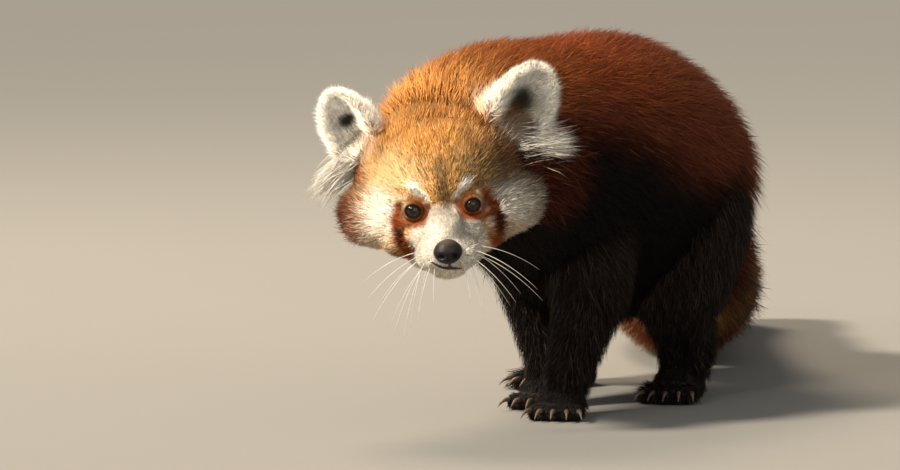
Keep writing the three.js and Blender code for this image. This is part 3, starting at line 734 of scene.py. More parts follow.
def coat_lie(at):
    """Which way the hair lies: from the nose back, up the ears, along the trunk and down the legs."""
    n = len(at.p)
    away = unit(at.h - NOSE_AT)
    away += np.array([0, 0, -0.25]) * (ease(26, 40, np.abs(at.a)) * ease(14, -6, at.b))[:, None]
    away[:, 2] += 0.25 * ease(20, 40, at.b)
    ear_lie = np.zeros((n, 3))
    for k, (e, ear) in enumerate(zip(at.ears, EARS)):
        local = np.column_stack([e[:, 0] / ear["wide"] * 0.9, np.zeros(n), np.full(n, 0.8)])
        local = local @ ear_turn(ear).T @ HEAD_TURN.T
        ear_lie = np.where((at.nearest_ear == k)[:, None], local, ear_lie)
    side_on = np.cos(at.trunk_angle) ** 2
    trunk_lie = at.trunk_way + np.array([0, 0, -1.0]) * (0.15 + 0.55 * side_on)[:, None]
    leg_lie = at.leg_way + np.array([0, 0.22, 0])
    paw_lie = np.tile(np.array([0, -1.0, -0.35]), (n, 1))
    lies = np.stack([away @ HEAD_TURN.T, ear_lie, trunk_lie, at.tail_way, leg_lie, paw_lie], axis=1)
    return (unit(lies) * at.weights[:, :, None]).sum(1)


def coat_size(kind, at):
    """One of the sizes in COAT at each place, for every region."""
    ways = (at.nose_gap, at.nose_gap, at.trunk_share, at.tail_share, at.leg_share, at.nose_gap)
    return np.column_stack([np.interp(way, *values) for way, values in zip(ways, COAT[kind])])


def coat_shade(at, out):
    """The coat's colour at each place, mixed from those of the regions it belongs to."""
    n = len(at.p)
    h_out = out @ HEAD_TURN
    colours = np.zeros((n, len(REGIONS), 3))
    colours[:, HEAD_HAIR] = head_colours(at.h)
    for k, (e, ear) in enumerate(zip(at.ears, EARS)):
        shade = ear_colours(e, h_out @ ear_turn(ear), ear)
        colours[:, EAR_HAIR] = np.where((at.nearest_ear == k)[:, None], shade, colours[:, EAR_HAIR])
    colours[:, BODY_HAIR] = body_colours(at.trunk_share, np.sin(at.trunk_angle), at.p)
    colours[:, TAIL_HAIR] = tail_colours(at.tail_share, at.p)
    colours[:, LEG_HAIR] = washed(plain("#241b18", n), (ease(125, 165, at.p[:, 2]), "#2c140e"))
    colours[:, PAW_HAIR] = linear("#1a1412")
    blend = at.weights ** 2
    blend /= blend.sum(1, keepdims=True)
    return (colours * blend[:, :, None]).sum(1)


def read_coat(p, out):
    """Lie, size, rise and number of the tufts, and their colours, at places on the skin."""
    at = read_place(p)
    h = at.h
    ruff = ease(40, 54, np.abs(at.a)) * ease(26, 6, at.b) * ease(-34, -16, h[:, 1])
    chin = ease(-35, -41, at.b) * ease(-30, -44, h[:, 1])
    lie = coat_lie(at)
    long, wide, many = (coat_size(kind, at) for kind in ("long", "wide", "many"))
    long[:, HEAD_HAIR] = long[:, HEAD_HAIR] + RUFF_LONG * ruff + CHIN_LONG * chin
    long, wide, many = ((at.weights * size).sum(1) for size in (long, wide, many))
    depth = np.maximum.reduce([-at.trunk_gap, -at.tail_gap, -at.leg_gap, -at.head_gap + 5 * ruff,
                               np.where(at.ear_gap < 2, 2.2, 1.4)])
    rise = np.arcsin(np.clip(RISE["fill"] * depth / long, RISE["least"], RISE["most"]))
    # Short flat hair that parts round each eye
    for side in (-1, 1):
        axis_gap = np.linalg.norm((h - eye_at(side)) * np.array([1, 0.25, 1]), axis=1)
        in_front = h[:, 1] < -20
        near_eye = ease(14, 7, axis_gap) * in_front
        long = long * (1 - near_eye) + EYE_HAIR["long"] * near_eye
        rise = rise * (1 - near_eye) + EYE_HAIR["rise"] * near_eye
        wide = wide * (1 - near_eye) + EYE_HAIR["wide"] * near_eye
        many = many * np.where((axis_gap < EYE_HAIR["bare"]) & in_front, 0, 1)
        push = unit(h - eye_at(side)) @ HEAD_TURN.T
        lie = unit(lie) + push * (EYE_HAIR["part"] * near_eye)[:, None]
    inside_nose = np.linalg.norm((h - NOSE_AT) / (NOSE_HALF * 0.97), axis=1) < 1
    many = np.where(inside_nose, 0, many)
    return {"lie": lie, "long": long, "depth": depth, "wide": wide, "rise": rise, "many": many,
            "shade": coat_shade(at, out), "weights": at.weights, "b": at.b, "h": h}


# Tufts.

SPIKE_STEPS = ((0, 1),)
BENT_STEPS = ((0, 0.75), (0.5, 1))
LONG_STEPS = ((0, 0.7), (0.38, 1), (0.74, 0.62))
PATCH = 0.003  # the size of a tuft's patch on the unwrap


def tuft_lines(root, out, lie, long, wide, rise, droop, sway):
    """Where each tuft starts, bows and ends, and its side."""
    side = unit(np.cross(out, lie))
    lie = np.cross(side, out)
    first = lie * np.cos(rise)[:, None] + out * np.sin(rise)[:, None]
    last = lie * np.cos(droop)[:, None] + out * np.sin(droop)[:, None] + side * sway[:, None]
    start = root - out * (0.25 * wide[:, None] + 0.2)
    bow = start + first * (long * 0.5)[:, None]
    return start, bow, bow + unit(last) * (long * 0.5)[:, None], side


def outline_gap(p):
    """How far places lie outside the animal's outline, out to the tips of its fur."""
    h = to_head(p)
    gaps = [limb.read(p)[3] for limb in (trunk, tail, *legs)]
    gaps += [ear_out(to_ear(h, ear), ear) - 2 for ear in EARS]
    return np.minimum.reduce([*gaps, head_out(h), paw_out(p)])


def combed(lines, out, proud):
    """Brings tips that stand too far out of the outline back to it."""
    start, bow, tip, side = lines
    for _ in range(2):
        over = np.maximum(outline_gap(tip) - proud, 0)[:, None]
        tip = tip - out * over
        bow = bow - out * over * 0.35
    return start, bow, tip, side


def tuft_faces(rings):
    """The triangles of one closed tuft: its root, the sides between its rings, and its tip."""
    faces = [(0, 2, 1)]
    for ring in range(rings - 1):
        for k in range(3):
            here, there = 3 * ring + k, 3 * ring + (k + 1) % 3
            faces += [(here, there, there + 3), (here, there + 3, here + 3)]
    last = 3 * (rings - 1)
    return faces + [(last + k, last + (k + 1) % 3, last + 3) for k in range(3)]


def tuft_mesh(name, lines, wide, shades, spots, steps):
    """One closed, tapered and bent blade for each line, all in one mesh."""
    start, bow, tip, side = lines
    dark, light = shades
    points, tones, maps = [], [], []
    for step, share in steps:
        middle = (1 - step) ** 2 * start + 2 * step * (1 - step) * bow + step ** 2 * tip
        way = unit((1 - step) * (bow - start) + step * (tip - bow))
        up = np.cross(way, side)
        half = (wide * share * 0.5)[:, None]
        for k, offset in enumerate((side * half, up * half * 0.8, -side * half)):
            points.append(middle + offset)
            tones.append(dark + (light - dark) * step ** 0.7)
            maps.append(spots + np.array([(k - 1) * PATCH / 2, (step - 0.5) * PATCH]))
    points.append(tip)
    tones.append(light)
    maps.append(spots + np.array([0, PATCH / 2]))
    firsts = np.arange(len(start)) * len(points)
    points, tones, maps = (np.stack(part, 1).reshape(-1, part[0].shape[1]) for part in (points, tones, maps))
    points[:, 2] = np.maximum(points[:, 2], TUFT_FLOOR)
    corners = (np.array(tuft_faces(len(steps)))[None] + firsts[:, None, None]).ravel()
    mesh = bpy.data.meshes.new(name)
    mesh.vertices.add(len(points))
    mesh.vertices.foreach_set("co", to_frame(points).astype(np.float32).ravel())
    mesh.loops.add(len(corners))
    mesh.loops.foreach_set("vertex_index", corners.astype(np.int32))
    mesh.polygons.add(len(corners) // 3)
    mesh.polygons.foreach_set("loop_start", np.arange(0, len(corners), 3, dtype=np.int32))
    mesh.polygons.foreach_set("use_smooth", np.ones(len(corners) // 3, bool))
    mesh.update(calc_edges=True)
    layer = mesh.uv_layers.new(name="OFBake")
    layer.data.foreach_set("uv", maps[corners].astype(np.float32).ravel())
    piece = bpy.data.objects.new(name, mesh)
    bpy.context.scene.collection.objects.link(piece)
    paint(piece, tones)
    return piece


def spots_at(skin, places):
    """Where on the skin's unwrap the roots of loose tufts belong, each a little beside the next."""
    bpy.context.view_layer.update()
    faces, map_points = skin.data.polygons, skin.data.uv_layers["OFBake"].data
    spots = []
    for place in to_frame(places):
        _, _, _, face = skin.closest_point_on_mesh(Vector(place))
        spots.append(np.mean([map_points[k].uv for k in faces[face].loop_indices], axis=0))
    aside = [draw.uniform(-PATCH / 2, PATCH / 2, len(spots)) for _ in range(2)]
    return np.array(spots) + np.column_stack(aside)


MOST_FACES = 190_000
STRAIGHT = 5  # tufts shorter than this are all straight
TONE_REACH = 0.5  # a tuft has the colour of the place that this share of its length covers
# How much darker the skin under the coat is painted: partly darker under-fur, partly painted shade under the
# tufts
UNDER_FUR_TONE_AND_SHADE = 0.55


def scattered(skin):
    """Roots spread over the skin, the way out there, and their places on its unwrap."""
    mesh = skin.data
    mesh.calc_loop_triangles()
    count = len(mesh.loop_triangles)

    def gathered(source, key, width, kind=np.float32):
        values = np.zeros(len(source) * width, kind)
        source.foreach_get(key, values)
        return values.reshape(-1, width)
    corners = gathered(mesh.loop_triangles, "vertices", 3, np.int32)
    loops = gathered(mesh.loop_triangles, "loops", 3, np.int32)
    uv = gathered(mesh.uv_layers["OFBake"].data, "uv", 2)
    places = from_frame(points_of(skin))
    normals = gathered(mesh.vertices, "normal", 3).astype(float)
    coat = read_coat(places, normals)
    # The skin is painted darker than the coat: partly darker under-fur, partly painted shade under the tufts
    paint(skin, coat["shade"] * UNDER_FUR_TONE_AND_SHADE)
    p = places[corners]
    area = np.linalg.norm(np.cross(p[:, 1] - p[:, 0], p[:, 2] - p[:, 0]), axis=1) / 2
    amount = np.cumsum(area * coat["many"][corners].mean(1))
    total = int(amount[-1])
    picked = np.searchsorted(amount, np.arange(total) + draw.random(total))
    picked = np.minimum(picked, count - 1)
    u, v = draw.random(total), draw.random(total)
    over = u + v > 1
    u, v = np.where(over, 1 - u, u), np.where(over, 1 - v, v)
    shares = np.column_stack([1 - u - v, u, v])[:, :, None]
    root = (p[picked] * shares).sum(1)
    out = unit((normals[corners[picked]] * shares).sum(1))
    return root, out, (uv[loops[picked]] * shares).sum(1)


WISPS = 0.08  # the share of tufts that are long and thin
WISP_LONG, WISP_WIDE = 1.18, 0.6
STRAY = {"long": 0.26, "short": 0.2, "drift": 0.22, "sway": 0.22}  # how far tufts leave the lie
SPREAD = {"long": 0.16, "drift": 0.1, "wide": (0.75, 1.25), "rise": (0.8, 1.2), "droop": (0.05, 0.4)}
TICKED, PALE, GRIZZLE_AND_SHEEN, BUFF, DARK = 0.26, 0.22, 0.32, 0.12, 0.12  # shares of hairs with tips of their own; the grey tips on legs and paws are partly grizzled hairs, partly painted sheen


def grow_tufts(coat, root, out, region):
    """The lines and widths of the tufts, and where on the skin each one's colour is read."""
    n = len(root)
    flow = unit(coat["lie"])
    flow = unit(flow + out * -(flow * out).sum(1)[:, None])
    stray = np.where(np.isin(region, (BODY_HAIR, TAIL_HAIR)), STRAY["long"], STRAY["short"])
    bend = stray * draw.normal(0, 1, n) + STRAY["drift"] * drift(root, 26, 6)
    lie = unit(flow + np.cross(out, flow) * bend[:, None])
    size = 1 + SPREAD["long"] * draw.normal(0, 1, n) + SPREAD["drift"] * drift(root, 22, 7)
    wisp = draw.random(n) < WISPS
    long = coat["long"] * np.clip(size, 0.55, 1.5) * np.where(wisp, WISP_LONG, 1)
    wide = coat["wide"] * draw.uniform(*SPREAD["wide"], n) * np.where(wisp, WISP_WIDE, 1)
    rise = coat["rise"] * draw.uniform(*SPREAD["rise"], n)
    droop = rise * draw.uniform(*SPREAD["droop"], n)
    height = long / 2 * (np.sin(rise) + np.sin(droop)) / (1.15 * coat["depth"] + 1.5)
    rise, droop = rise / np.maximum(height, 1), droop / np.maximum(height, 1)
    lines = tuft_lines(root, out, lie, long, wide, rise, droop, draw.normal(0, STRAY["sway"], n))
    return lines, long, wide, root + lie * (long * TONE_REACH)[:, None]


def tuft_shades(shown, root, region):
    """Each tuft's colours at root and tip: wandering patches, and single light or dark hairs."""
    n = len(root)
    shade = shown["shade"]
    bright = shade.sum(1)

    def tipped(light, which, keep, code="#000000", mix=0.0):
        return np.where(which[:, None], light * keep + linear(code) * mix, light)
    tone = 1 + 0.16 * draw.normal(0, 1, n) + 0.12 * drift(root, 14, 8)
    light = shade * np.clip(tone, 0.5, 1.6)[:, None]
    # Roots darker than tips: partly darker hair bases, partly painted shade deep in the coat; white tufts
    # darken less
    dark = light * np.choose(region, (0.68, 0.85, 0.5, 0.5, 0.5, 0.5))[:, None]
    dark = np.where((bright > 1.6)[:, None], light * 0.86, dark)
    on_face = (region == HEAD_HAIR) & (shown["b"] > 8) & (shown["h"][:, 1] < 20) & (bright < 1.5)
    ticked = on_face & (draw.random(n) < TICKED)
    light = tipped(light, ticked, 0.3, "#4a2f18", 0.4)
    light = tipped(light, on_face & ~ticked & (draw.random(n) < PALE), 0.45, "#f2d49c", 0.55)
    # Grey tips on the dark legs and paws: partly grizzled hairs, partly painted sheen of light on the black
    # fur
    grey = np.isin(region, (LEG_HAIR, PAW_HAIR)) & (bright < 0.05) & (draw.random(n) < GRIZZLE_AND_SHEEN)
    light = tipped(light, grey, 0.6, "#85766d", 0.35)
    furry = np.isin(region, (BODY_HAIR, TAIL_HAIR)) & (bright > 0.06)
    chance = draw.random(n)
    light = tipped(light, furry & (chance < BUFF), 0.6, "#d08a4a", 0.35)
    light = tipped(light, furry & (chance > 1 - DARK), 0.35)
    # The tips of the red body tufts are lightened as a painted glow of light on the coat
    return dark, tipped(light, (region == BODY_HAIR) & (bright > 0.12), 1.12)


def grow_coat(skin, material):
    root, out, spots = scattered(skin)
    coat = read_coat(root, out)
    keep = coat["many"] > 0
    root, out, spots = root[keep], out[keep], spots[keep]
    coat = {key: value[keep] for key, value in coat.items()}
    region = np.argmax(coat["weights"], axis=1)
    lines, long, wide, seen = grow_tufts(coat, root, out, region)
    dark, light = tuft_shades(read_coat(seen, out), root, region)
    bent_shares, proud = np.array([[share, proud] for _, _, share, proud in REGIONS])[region].T
    lines = combed(lines, out, proud + draw.exponential(1.3, len(root)))
    bent = (draw.random(len(root)) < bent_shares) & (long > STRAIGHT)
    for k, (name, slot, _, _) in enumerate(REGIONS):
        for kind, chosen, steps in (("bent", bent, BENT_STEPS), ("straight", ~bent, SPIKE_STEPS)):
            members = np.flatnonzero((region == k) & chosen)
            if len(members) == 0:
                continue
            members = members[np.argsort(root[members, 1], kind="stable")]
            parts = math.ceil(len(members) * len(tuft_faces(len(steps))) / MOST_FACES)
            for part, some in enumerate(np.array_split(members, parts)):
                piece = tuft_mesh(f"coat_{name}_{kind}_{part + 1}", [line[some] for line in lines],
                                  wide[some], (dark[some], light[some]), spots[some], steps)
                dress(piece, piece.name, material)


def side_tufts(skin, material):
    """Long white hair that stands out sideways below each ear."""
    n = SIDE_TUFT_COUNT
    pieces = []
    for tuft in SIDE_TUFTS:
        root, tip = np.array(tuft["root"], float), np.array(tuft["tip"], float)
        way = unit(tip - root)
        roots = root + draw.normal(0, 1, (n, 3)) * np.array([2.5, 3.5, 5])
        fan = (root - roots) * 0.012
        lie = unit(way + fan + draw.normal(0, 0.09, (n, 3))) @ HEAD_TURN.T
        out = np.tile(np.array([0, -0.5, 0.85]) @ HEAD_TURN.T, (n, 1))
        out = unit(out - lie * (out * lie).sum(1)[:, None])
        long = tuft["long"] * draw.uniform(0.6, 1.12, n)
        shade = linear("#fbf6ec") * draw.uniform(0.8, 1.0, n)[:, None]
        spots = spots_at(skin, from_head(roots))
        wide = draw.uniform(0.3, 0.6, n)
        lines = tuft_lines(from_head(roots), out, lie, long, wide, np.full(n, 0.16),
                           draw.uniform(-0.45, 0.2, n), draw.normal(0, 0.3, n))
        # Root colour darker than the tip: partly painted shade deep in the tuft
        pieces.append(tuft_mesh("side_tuft", lines, wide, (shade * 0.85, shade), spots, LONG_STEPS))
    dress(joined(pieces, "side_tufts"), "side_tufts", material)


# Eyes, lids, nose, mouth, whiskers and claws.

def make_eye(side, material):
    turn = eye_frame(side)

    def place(points):
        bulge = 1 + 0.03 * ease(0.75, 1, points[:, 2])
        return from_head((points * bulge[:, None] * EYE["radius"]) @ turn.T + eye_at(side))
    piece = sphere(64, 48, place)
    deep = to_head(from_frame(points_of(piece)))
    toward = unit(deep - eye_at(side)) @ turn[:, 2]
    radius = EYE["radius"] * np.sqrt(np.clip(1 - toward ** 2, 0, 1))
    paint(piece, washed(
        plain("#1c0e08", len(deep)),
        (ease(3.4, 2.8, radius), "#2a160c"),
        (ease(2.6, 2.1, radius), "#050403"),
        (ease(4.0, 4.6, radius) + (toward < 0), "#0c0705")))
    smooth_shade(piece)
    name = "eye_left" if side > 0 else "eye_right"
    dress(piece, name + "_ball", material, [name])


LID_OPEN = {"wide": 3.8, "up": 3.0, "down": 3.3, "tilt": 8}  # half sizes of the opening
LID_SPAN = 26  # degrees about the eye, from the lid's edge to where it goes under the skin
LID_THICK = 0.6
LID_FUR = {"count": 1500, "long": 2.4, "wide": 0.32}


def lid_lift(around, across):
    """How high a lid stands over the ball, from its edge to its root, with a fold in the middle."""
    minor = np.arccos(np.clip(2 * across - 1, -1, 1))
    fold = 1 - 0.25 * np.exp(-((across - 0.6) / 0.14) ** 2)
    return np.sin(minor) * LID_THICK * fold * (1 + 0.5 * np.clip(np.sin(around), 0, 1))


def lid_place(side, around, across, lift):
    """A place on a lid, and the way out of it, in the head's frame."""
    tilted = around - side * math.radians(LID_OPEN["tilt"])
    tall = np.where(np.sin(tilted) > 0, LID_OPEN["up"], LID_OPEN["down"])
    reach = 1 / np.hypot(np.cos(tilted) / LID_OPEN["wide"], np.sin(tilted) / tall)
    angle = np.arcsin(np.clip(reach / EYE["radius"], 0, 0.95)) + across * math.radians(LID_SPAN)
    out = np.column_stack([np.sin(angle) * np.cos(around), np.sin(angle) * np.sin(around), np.cos(angle)])
    out = out @ eye_frame(side).T
    return out * (EYE["radius"] * 1.012 + lift)[:, None] + eye_at(side), out


def lid_ring(side):
    """One lid as a closed ring about the eye, painted, and dark at its edge."""
    deselect()
    bpy.ops.mesh.primitive_torus_add(
        major_segments=72, minor_segments=24, major_radius=1, minor_radius=0.5)
    piece = bpy.context.object
    points = points_of(piece)
    around = np.arctan2(points[:, 1], points[:, 0])
    minor = np.arctan2(points[:, 2], np.hypot(points[:, 0], points[:, 1]) - 1)
    across = (1 + np.cos(minor)) / 2
    lift = np.where(np.sin(minor) > 0, lid_lift(around, across), 0.5 * np.sin(minor))
    h, _ = lid_place(side, around, across, lift)
    move_points(piece, to_frame(from_head(h)))
    paint(piece, washed(plain("#0b0706", len(h)), (ease(0.15, 0.5, across), "#4f2c18")))
    return face_out(piece)


def lid_fur(skin, side):
    """Short hair on a lid, in the colours of the face round it, with a pale outer corner."""
    n = LID_FUR["count"]
    around, across = draw.uniform(-math.pi, math.pi, n), draw.uniform(0.2, 1.35, n)
    h, out = lid_place(side, around, across, lid_lift(around, across) + 0.05)
    axis = eye_frame(side)[:, 2]
    lie = unit(out - axis * (out @ axis)[:, None] + draw.normal(0, 0.18, (n, 3)))
    corner = np.abs(np.angle(np.exp(1j * (around - math.pi / 2 + side * math.radians(55)))))
    pale = 0.5 * ease(math.radians(60), math.radians(15), corner)
    shade = washed(head_colours(h + lie * 1.5), (pale, "#e6cda4"))
    shade *= draw.uniform(0.7, 1.15, n)[:, None] * ease(0.0, 0.4, across)[:, None]
    wide = LID_FUR["wide"] * draw.uniform(0.8, 1.2, n)
    lines = tuft_lines(from_head(h), out @ HEAD_TURN.T, lie @ HEAD_TURN.T,
                       LID_FUR["long"] * draw.uniform(0.6, 1.2, n), wide, np.full(n, 0.3),
                       np.full(n, 0.0), draw.normal(0, 0.2, n))
    spots = spots_at(skin, from_head(h))
    # Root colour darker than the tip: partly painted shade deep in the tuft
    return tuft_mesh("lid_fur", lines, wide, (shade * 0.75, shade), spots, SPIKE_STEPS)


def make_lids(skin, material, fur_material):
    rings, coats = [], []
    for side in (1, -1):
        rings.append(lid_ring(side))
        coats.append(lid_fur(skin, side))
    lids = joined(rings, "lids")
    smooth_shade(lids)
    dress(lids, "lids", material)
    dress(joined(coats, "coat_lids"), "coat_lids", fur_material)


NOSTRIL = {  # middle and half size on the front of the nose pad, on either side
    "pit": ((4.1, -1.8), (1.7, 1.5)), "slit": ((6.4, -2.6), (1.9, 0.9)),
    "rim": ((4.6, 1.4), (3, 1.8)), "dark": ((4.1, -1.8), (1.5, 1.3)),
}


def nostril(places, part):
    """1 in the middle of a part of the nostrils, falling to 0 away from it."""
    middle, half = NOSTRIL[part]
    return np.exp(-(((np.abs(places[:, 0]) - middle[0]) / half[0]) ** 2
                    + ((places[:, 2] - middle[1]) / half[1]) ** 2))


def make_nose(material):
    """A wet black nose pad with two comma-shaped nostrils and a groove below its middle."""
    def place(points):
        _, y, z = points.T
        places = points * NOSE_HALF
        front = np.clip(-y, 0, 1)
        places[:, 0] *= 1 - 0.1 * np.clip(z, 0, 1) - 0.06 * np.clip(-z, 0, 1)
        groove = np.exp(-(places[:, 0] / 0.55) ** 2) * ease(1, -2, places[:, 2])
        places[:, 1] += front * (3.6 * nostril(places, "pit") + 1.6 * nostril(places, "slit")
                                 + 0.7 * groove - 0.5 * nostril(places, "rim"))
        return from_head(places + NOSE_AT)
    piece = sphere(96, 64, place)
    h = to_head(from_frame(points_of(piece))) - NOSE_AT
    paint(piece, washed(
        plain("#121013", len(h)),
        # Lighter towards the top: partly dry, hairy leather on the upper half, partly a painted highlight
        # along the upper rim
        (ease(-1, 4, h[:, 2]), "#221d1d"),
        (ease(4, 7.5, h[:, 2]), "#4a4039"),
        # Painted shade: the nostril pits made darker than the pad
        (nostril(h, "dark"), "#030303")))
    smooth_shade(piece)
    dress(piece, "nose_pad", material, ["nose"])


def rod_mesh(name, lines, sizes, sides):
    """Tapered round rods along lines of points, each closed at both ends."""
    points, faces = [], []
    for line, radii in zip(lines, sizes):
        base = len(points)
        line = np.asarray(line, float)
        way = unit(np.gradient(line, axis=0))
        side = unit(np.cross(way, np.array([0.13, 0.31, 0.94])))
        up = np.cross(way, side)
        for middle, s, u, radius in zip(line, side, up, radii):
            for k in range(sides):
                turn = 2 * math.pi * k / sides
                points.append(middle + (s * math.cos(turn) + u * math.sin(turn)) * radius)
        last = base + sides * (len(line) - 1)
        for i in range(len(line) - 1):
            for k in range(sides):
                a, b = base + i * sides + k, base + i * sides + (k + 1) % sides
                faces.append((a, b, b + sides, a + sides))
        faces.append(tuple(base + k for k in reversed(range(sides))))
        faces.append(tuple(last + k for k in range(sides)))
    mesh = bpy.data.meshes.new(name)
    mesh.from_pydata(to_frame(np.array(points)).tolist(), [], faces)
    piece = bpy.data.objects.new(name, mesh)
    bpy.context.scene.collection.objects.link(piece)
    face_out(piece)
    smooth_shade(piece)
    return piece


def on_skin(skin, h):
    """The place on the skin nearest to one in the head's frame."""
    _, near, _, _ = skin.closest_point_on_mesh(Vector(to_frame(from_head(h))))
    return from_frame(np.array(near))


def on_face(skin, a, b, lift):
    """The place on the skin that shows at a and b on the face, lifted off it."""
    front = 140
    high = EYE["z"] + (b + (front + EYE["y"]) * math.sin(FACE_SLOPE)) / math.cos(FACE_SLOPE)
    start = to_frame(from_head(np.array([a, -front, high])))
    way = np.array([0, math.cos(FACE_SLOPE), -math.sin(FACE_SLOPE)]) @ HEAD_TURN.T
    _, hit, normal, _ = skin.ray_cast(Vector(start), Vector(way))
    return from_frame(np.array(hit)) + np.array(normal) * lift


def make_mouth(skin, material):
    # The mouth line is a dark rod, thickest in the middle: partly the dark lip edge, partly the painted
    # shadow of the mouth's crease; the philtrum rod likewise paints the groove's shade
    places = np.array([on_face(skin, a, b, 0.3) for a, b in MOUTH])
    shares = np.linspace(0, 1, 41)
    smooth = smooth_line(places, shares)
    radii = 0.2 + 0.75 * np.sin(shares * math.pi) ** 1.2
    lips = rod_mesh("mouth_line", [smooth], [radii], 8)
    groove = np.array([from_head(np.array([0, -74.2, -20.5])), from_head(np.array([0, -74, -22.5])),
                       on_face(skin, 0.5, -36.4, 0.3), smooth[20]])
    line = smooth_line(groove, np.linspace(0, 1, 12))
    philtrum = rod_mesh("philtrum", [line], [np.linspace(0.9, 0.6, 12)], 8)
    dress(joined([lips, philtrum], "mouth_line"), "mouth_line", material)


# Where whiskers start on the left pad, the way they leave it and their length
WHISKERS = [
    ((15, -66, -17), (0.95, -0.2, -0.28), 52), ((17, -63, -20), (0.9, -0.12, -0.5), 58),
    ((14, -67, -21), (0.72, -0.4, -0.65), 44), ((18, -61, -16), (0.98, 0.0, -0.2), 46),
    ((16, -64, -24), (0.62, -0.25, -0.85), 40), ((12, -68, -25), (0.42, -0.42, -0.95), 32),
    ((19, -59, -22), (0.85, 0.05, -0.6), 42), ((15, -62, -24), (0.75, -0.1, -0.8), 38),
    ((9, -69, -27), (0.25, -0.5, -0.95), 24), ((17, -60, -26), (0.6, -0.05, -0.95), 34),
    ((14, -64, -27), (0.4, -0.2, -1.0), 30),
]
BROW_HAIRS = [((14, -46, 17), (0.3, -0.75, 0.85), 22), ((17, -44, 18), (0.4, -0.6, 0.9), 18)]


def make_whiskers(skin, material):
    lines, sizes = [], []
    shares = np.linspace(0, 1, 14)
    for side in (1, -1):
        for start, way, long in WHISKERS + BROW_HAIRS:
            mirror = np.array([side, 1, 1])
            long = long * draw.uniform(0.65, 1.0)
            way = unit((np.array(way) + draw.normal(0, 0.07, 3)) * mirror)
            first = to_head(on_skin(skin, np.array(start) * mirror))
            bend = np.array([side * -0.08, 0.3, -0.42]) * long
            line = first + np.outer(shares, way * long) + np.outer(shares ** 2, bend) * 0.8
            lines.append(from_head(line))
            sizes.append(0.19 * (1 - shares) ** 0.7 + 0.05)
    dress(rod_mesh("whiskers", lines, sizes, 5), "whiskers", material)


CLAW_SHARES = np.linspace(0, 1, 9)


def make_claws(material):
    lines, sizes = [], []
    for paw in PAWS:
        move = paw_frame(paw)
        for middle, turn in toe_frames(paw):
            forward = paw["toe"] * 0.62 + CLAW_SHARES * (paw["claw"] + 1)
            up = paw["toe"] * 0.14 + 1.6 * np.sin(CLAW_SHARES * 2.2) - 5.2 * CLAW_SHARES ** 2
            line = move(np.column_stack([0 * forward, -forward, up]) @ turn.T + middle)
            line[:, 2] = np.maximum(line[:, 2], CLAW_FLOOR)
            lines.append(line)
            sizes.append(1.6 * (1 - CLAW_SHARES ** 1.6) + 0.12)
    dress(rod_mesh("claws", lines, sizes, 8), "claws", material)


# Materials.

def add(tree, kind, inputs=None, **settings):
    """Adds a node, with its settings, and its inputs as values or as sockets to link."""
    made = tree.nodes.new("ShaderNode" + kind)
    for key, value in settings.items():
        setattr(made, key, value)
    for key, value in (inputs or {}).items():
        if isinstance(value, bpy.types.NodeSocket):
            tree.links.new(value, made.inputs[key])
        else:
            made.inputs[key].default_value = value
    return made


def finish(name, build):
    """A material whose shader the build function makes."""
    material = bpy.data.materials.new(name)
    material.use_nodes = True
    tree = material.node_tree
    tree.nodes.clear()
    place = add(tree, "TexCoord").outputs["Object"]
    shader = build(tree, place)
    add(tree, "OutputMaterial", {"Surface": shader.outputs[0]})
    return material


def noise(tree, place, size, detail=3):
    """A noise whose grain is about the given millimetres."""
    return add(tree, "TexNoise", {"Vector": place, "Scale": 1 / (size * MM), "Detail": detail}).outputs[0]


def even(code):
    """One colour, as a socket takes it."""
    return (*linear(code), 1)


def painted(tree):
    """The colours painted on a piece's points."""
    return add(tree, "Attribute", attribute_name="coat").outputs["Color"]


def mottled(tree, colour, grain, low, high):
    """A colour made darker and lighter by a grain."""
    tone = add(tree, "MapRange", {"Value": grain, "From Min": 0.3, "From Max": 0.7, "To Min": low,
                                  "To Max": high}).outputs[0]
    grey = add(tree, "CombineColor", {0: tone, 1: tone, 2: tone}).outputs[0]
    return add(tree, "Mix", {0: 1.0, 6: colour, 7: grey}, data_type="RGBA", blend_type="MULTIPLY").outputs[2]


def bumped(tree, height, strength, depth):
    """A bump whose height is given in millimetres."""
    bump = add(tree, "Bump", {"Height": height, "Strength": strength, "Distance": depth * MM})
    return bump.outputs[0]


def worn(tree, grain, low, high):
    """A roughness that wanders between two values."""
    return add(tree, "MapRange", {"Value": grain, "To Min": low, "To Max": high}).outputs[0]


def guard_hair(tree, place):
    """Guard hair: dull, with a faint soft gloss and fine streaks of light and dark."""
    return add(tree, "BsdfPrincipled", {
        "Base Color": mottled(tree, painted(tree), noise(tree, place, 3.2), 0.82, 1.18),
        "Roughness": worn(tree, noise(tree, place, 1.5), 0.5, 0.75), "Specular IOR Level": 0.12})


def under_fur(tree, place):
    """Soft under-fur on the skin: matt, darker than the coat, partly as painted shade under the tufts, with
    a fine woolly bump.
    """
    grain = noise(tree, place, 1.2, 5)
    return add(tree, "BsdfPrincipled", {
        "Base Color": mottled(tree, painted(tree), grain, 0.7, 1.2), "Roughness": 0.85,
        "Normal": bumped(tree, grain, 0.6, 0.6)})


def wet_eye(tree, place):
    """A moist eyeball: brown iris and black pupil under a clear, glossy cornea."""
    return add(tree, "BsdfPrincipled", {
        "Base Color": mottled(tree, painted(tree), noise(tree, place, 0.5), 0.8, 1.3), "Roughness": 0.04,
        "Specular IOR Level": 0.25, "Coat Weight": 0.4, "Coat Roughness": 0.02})


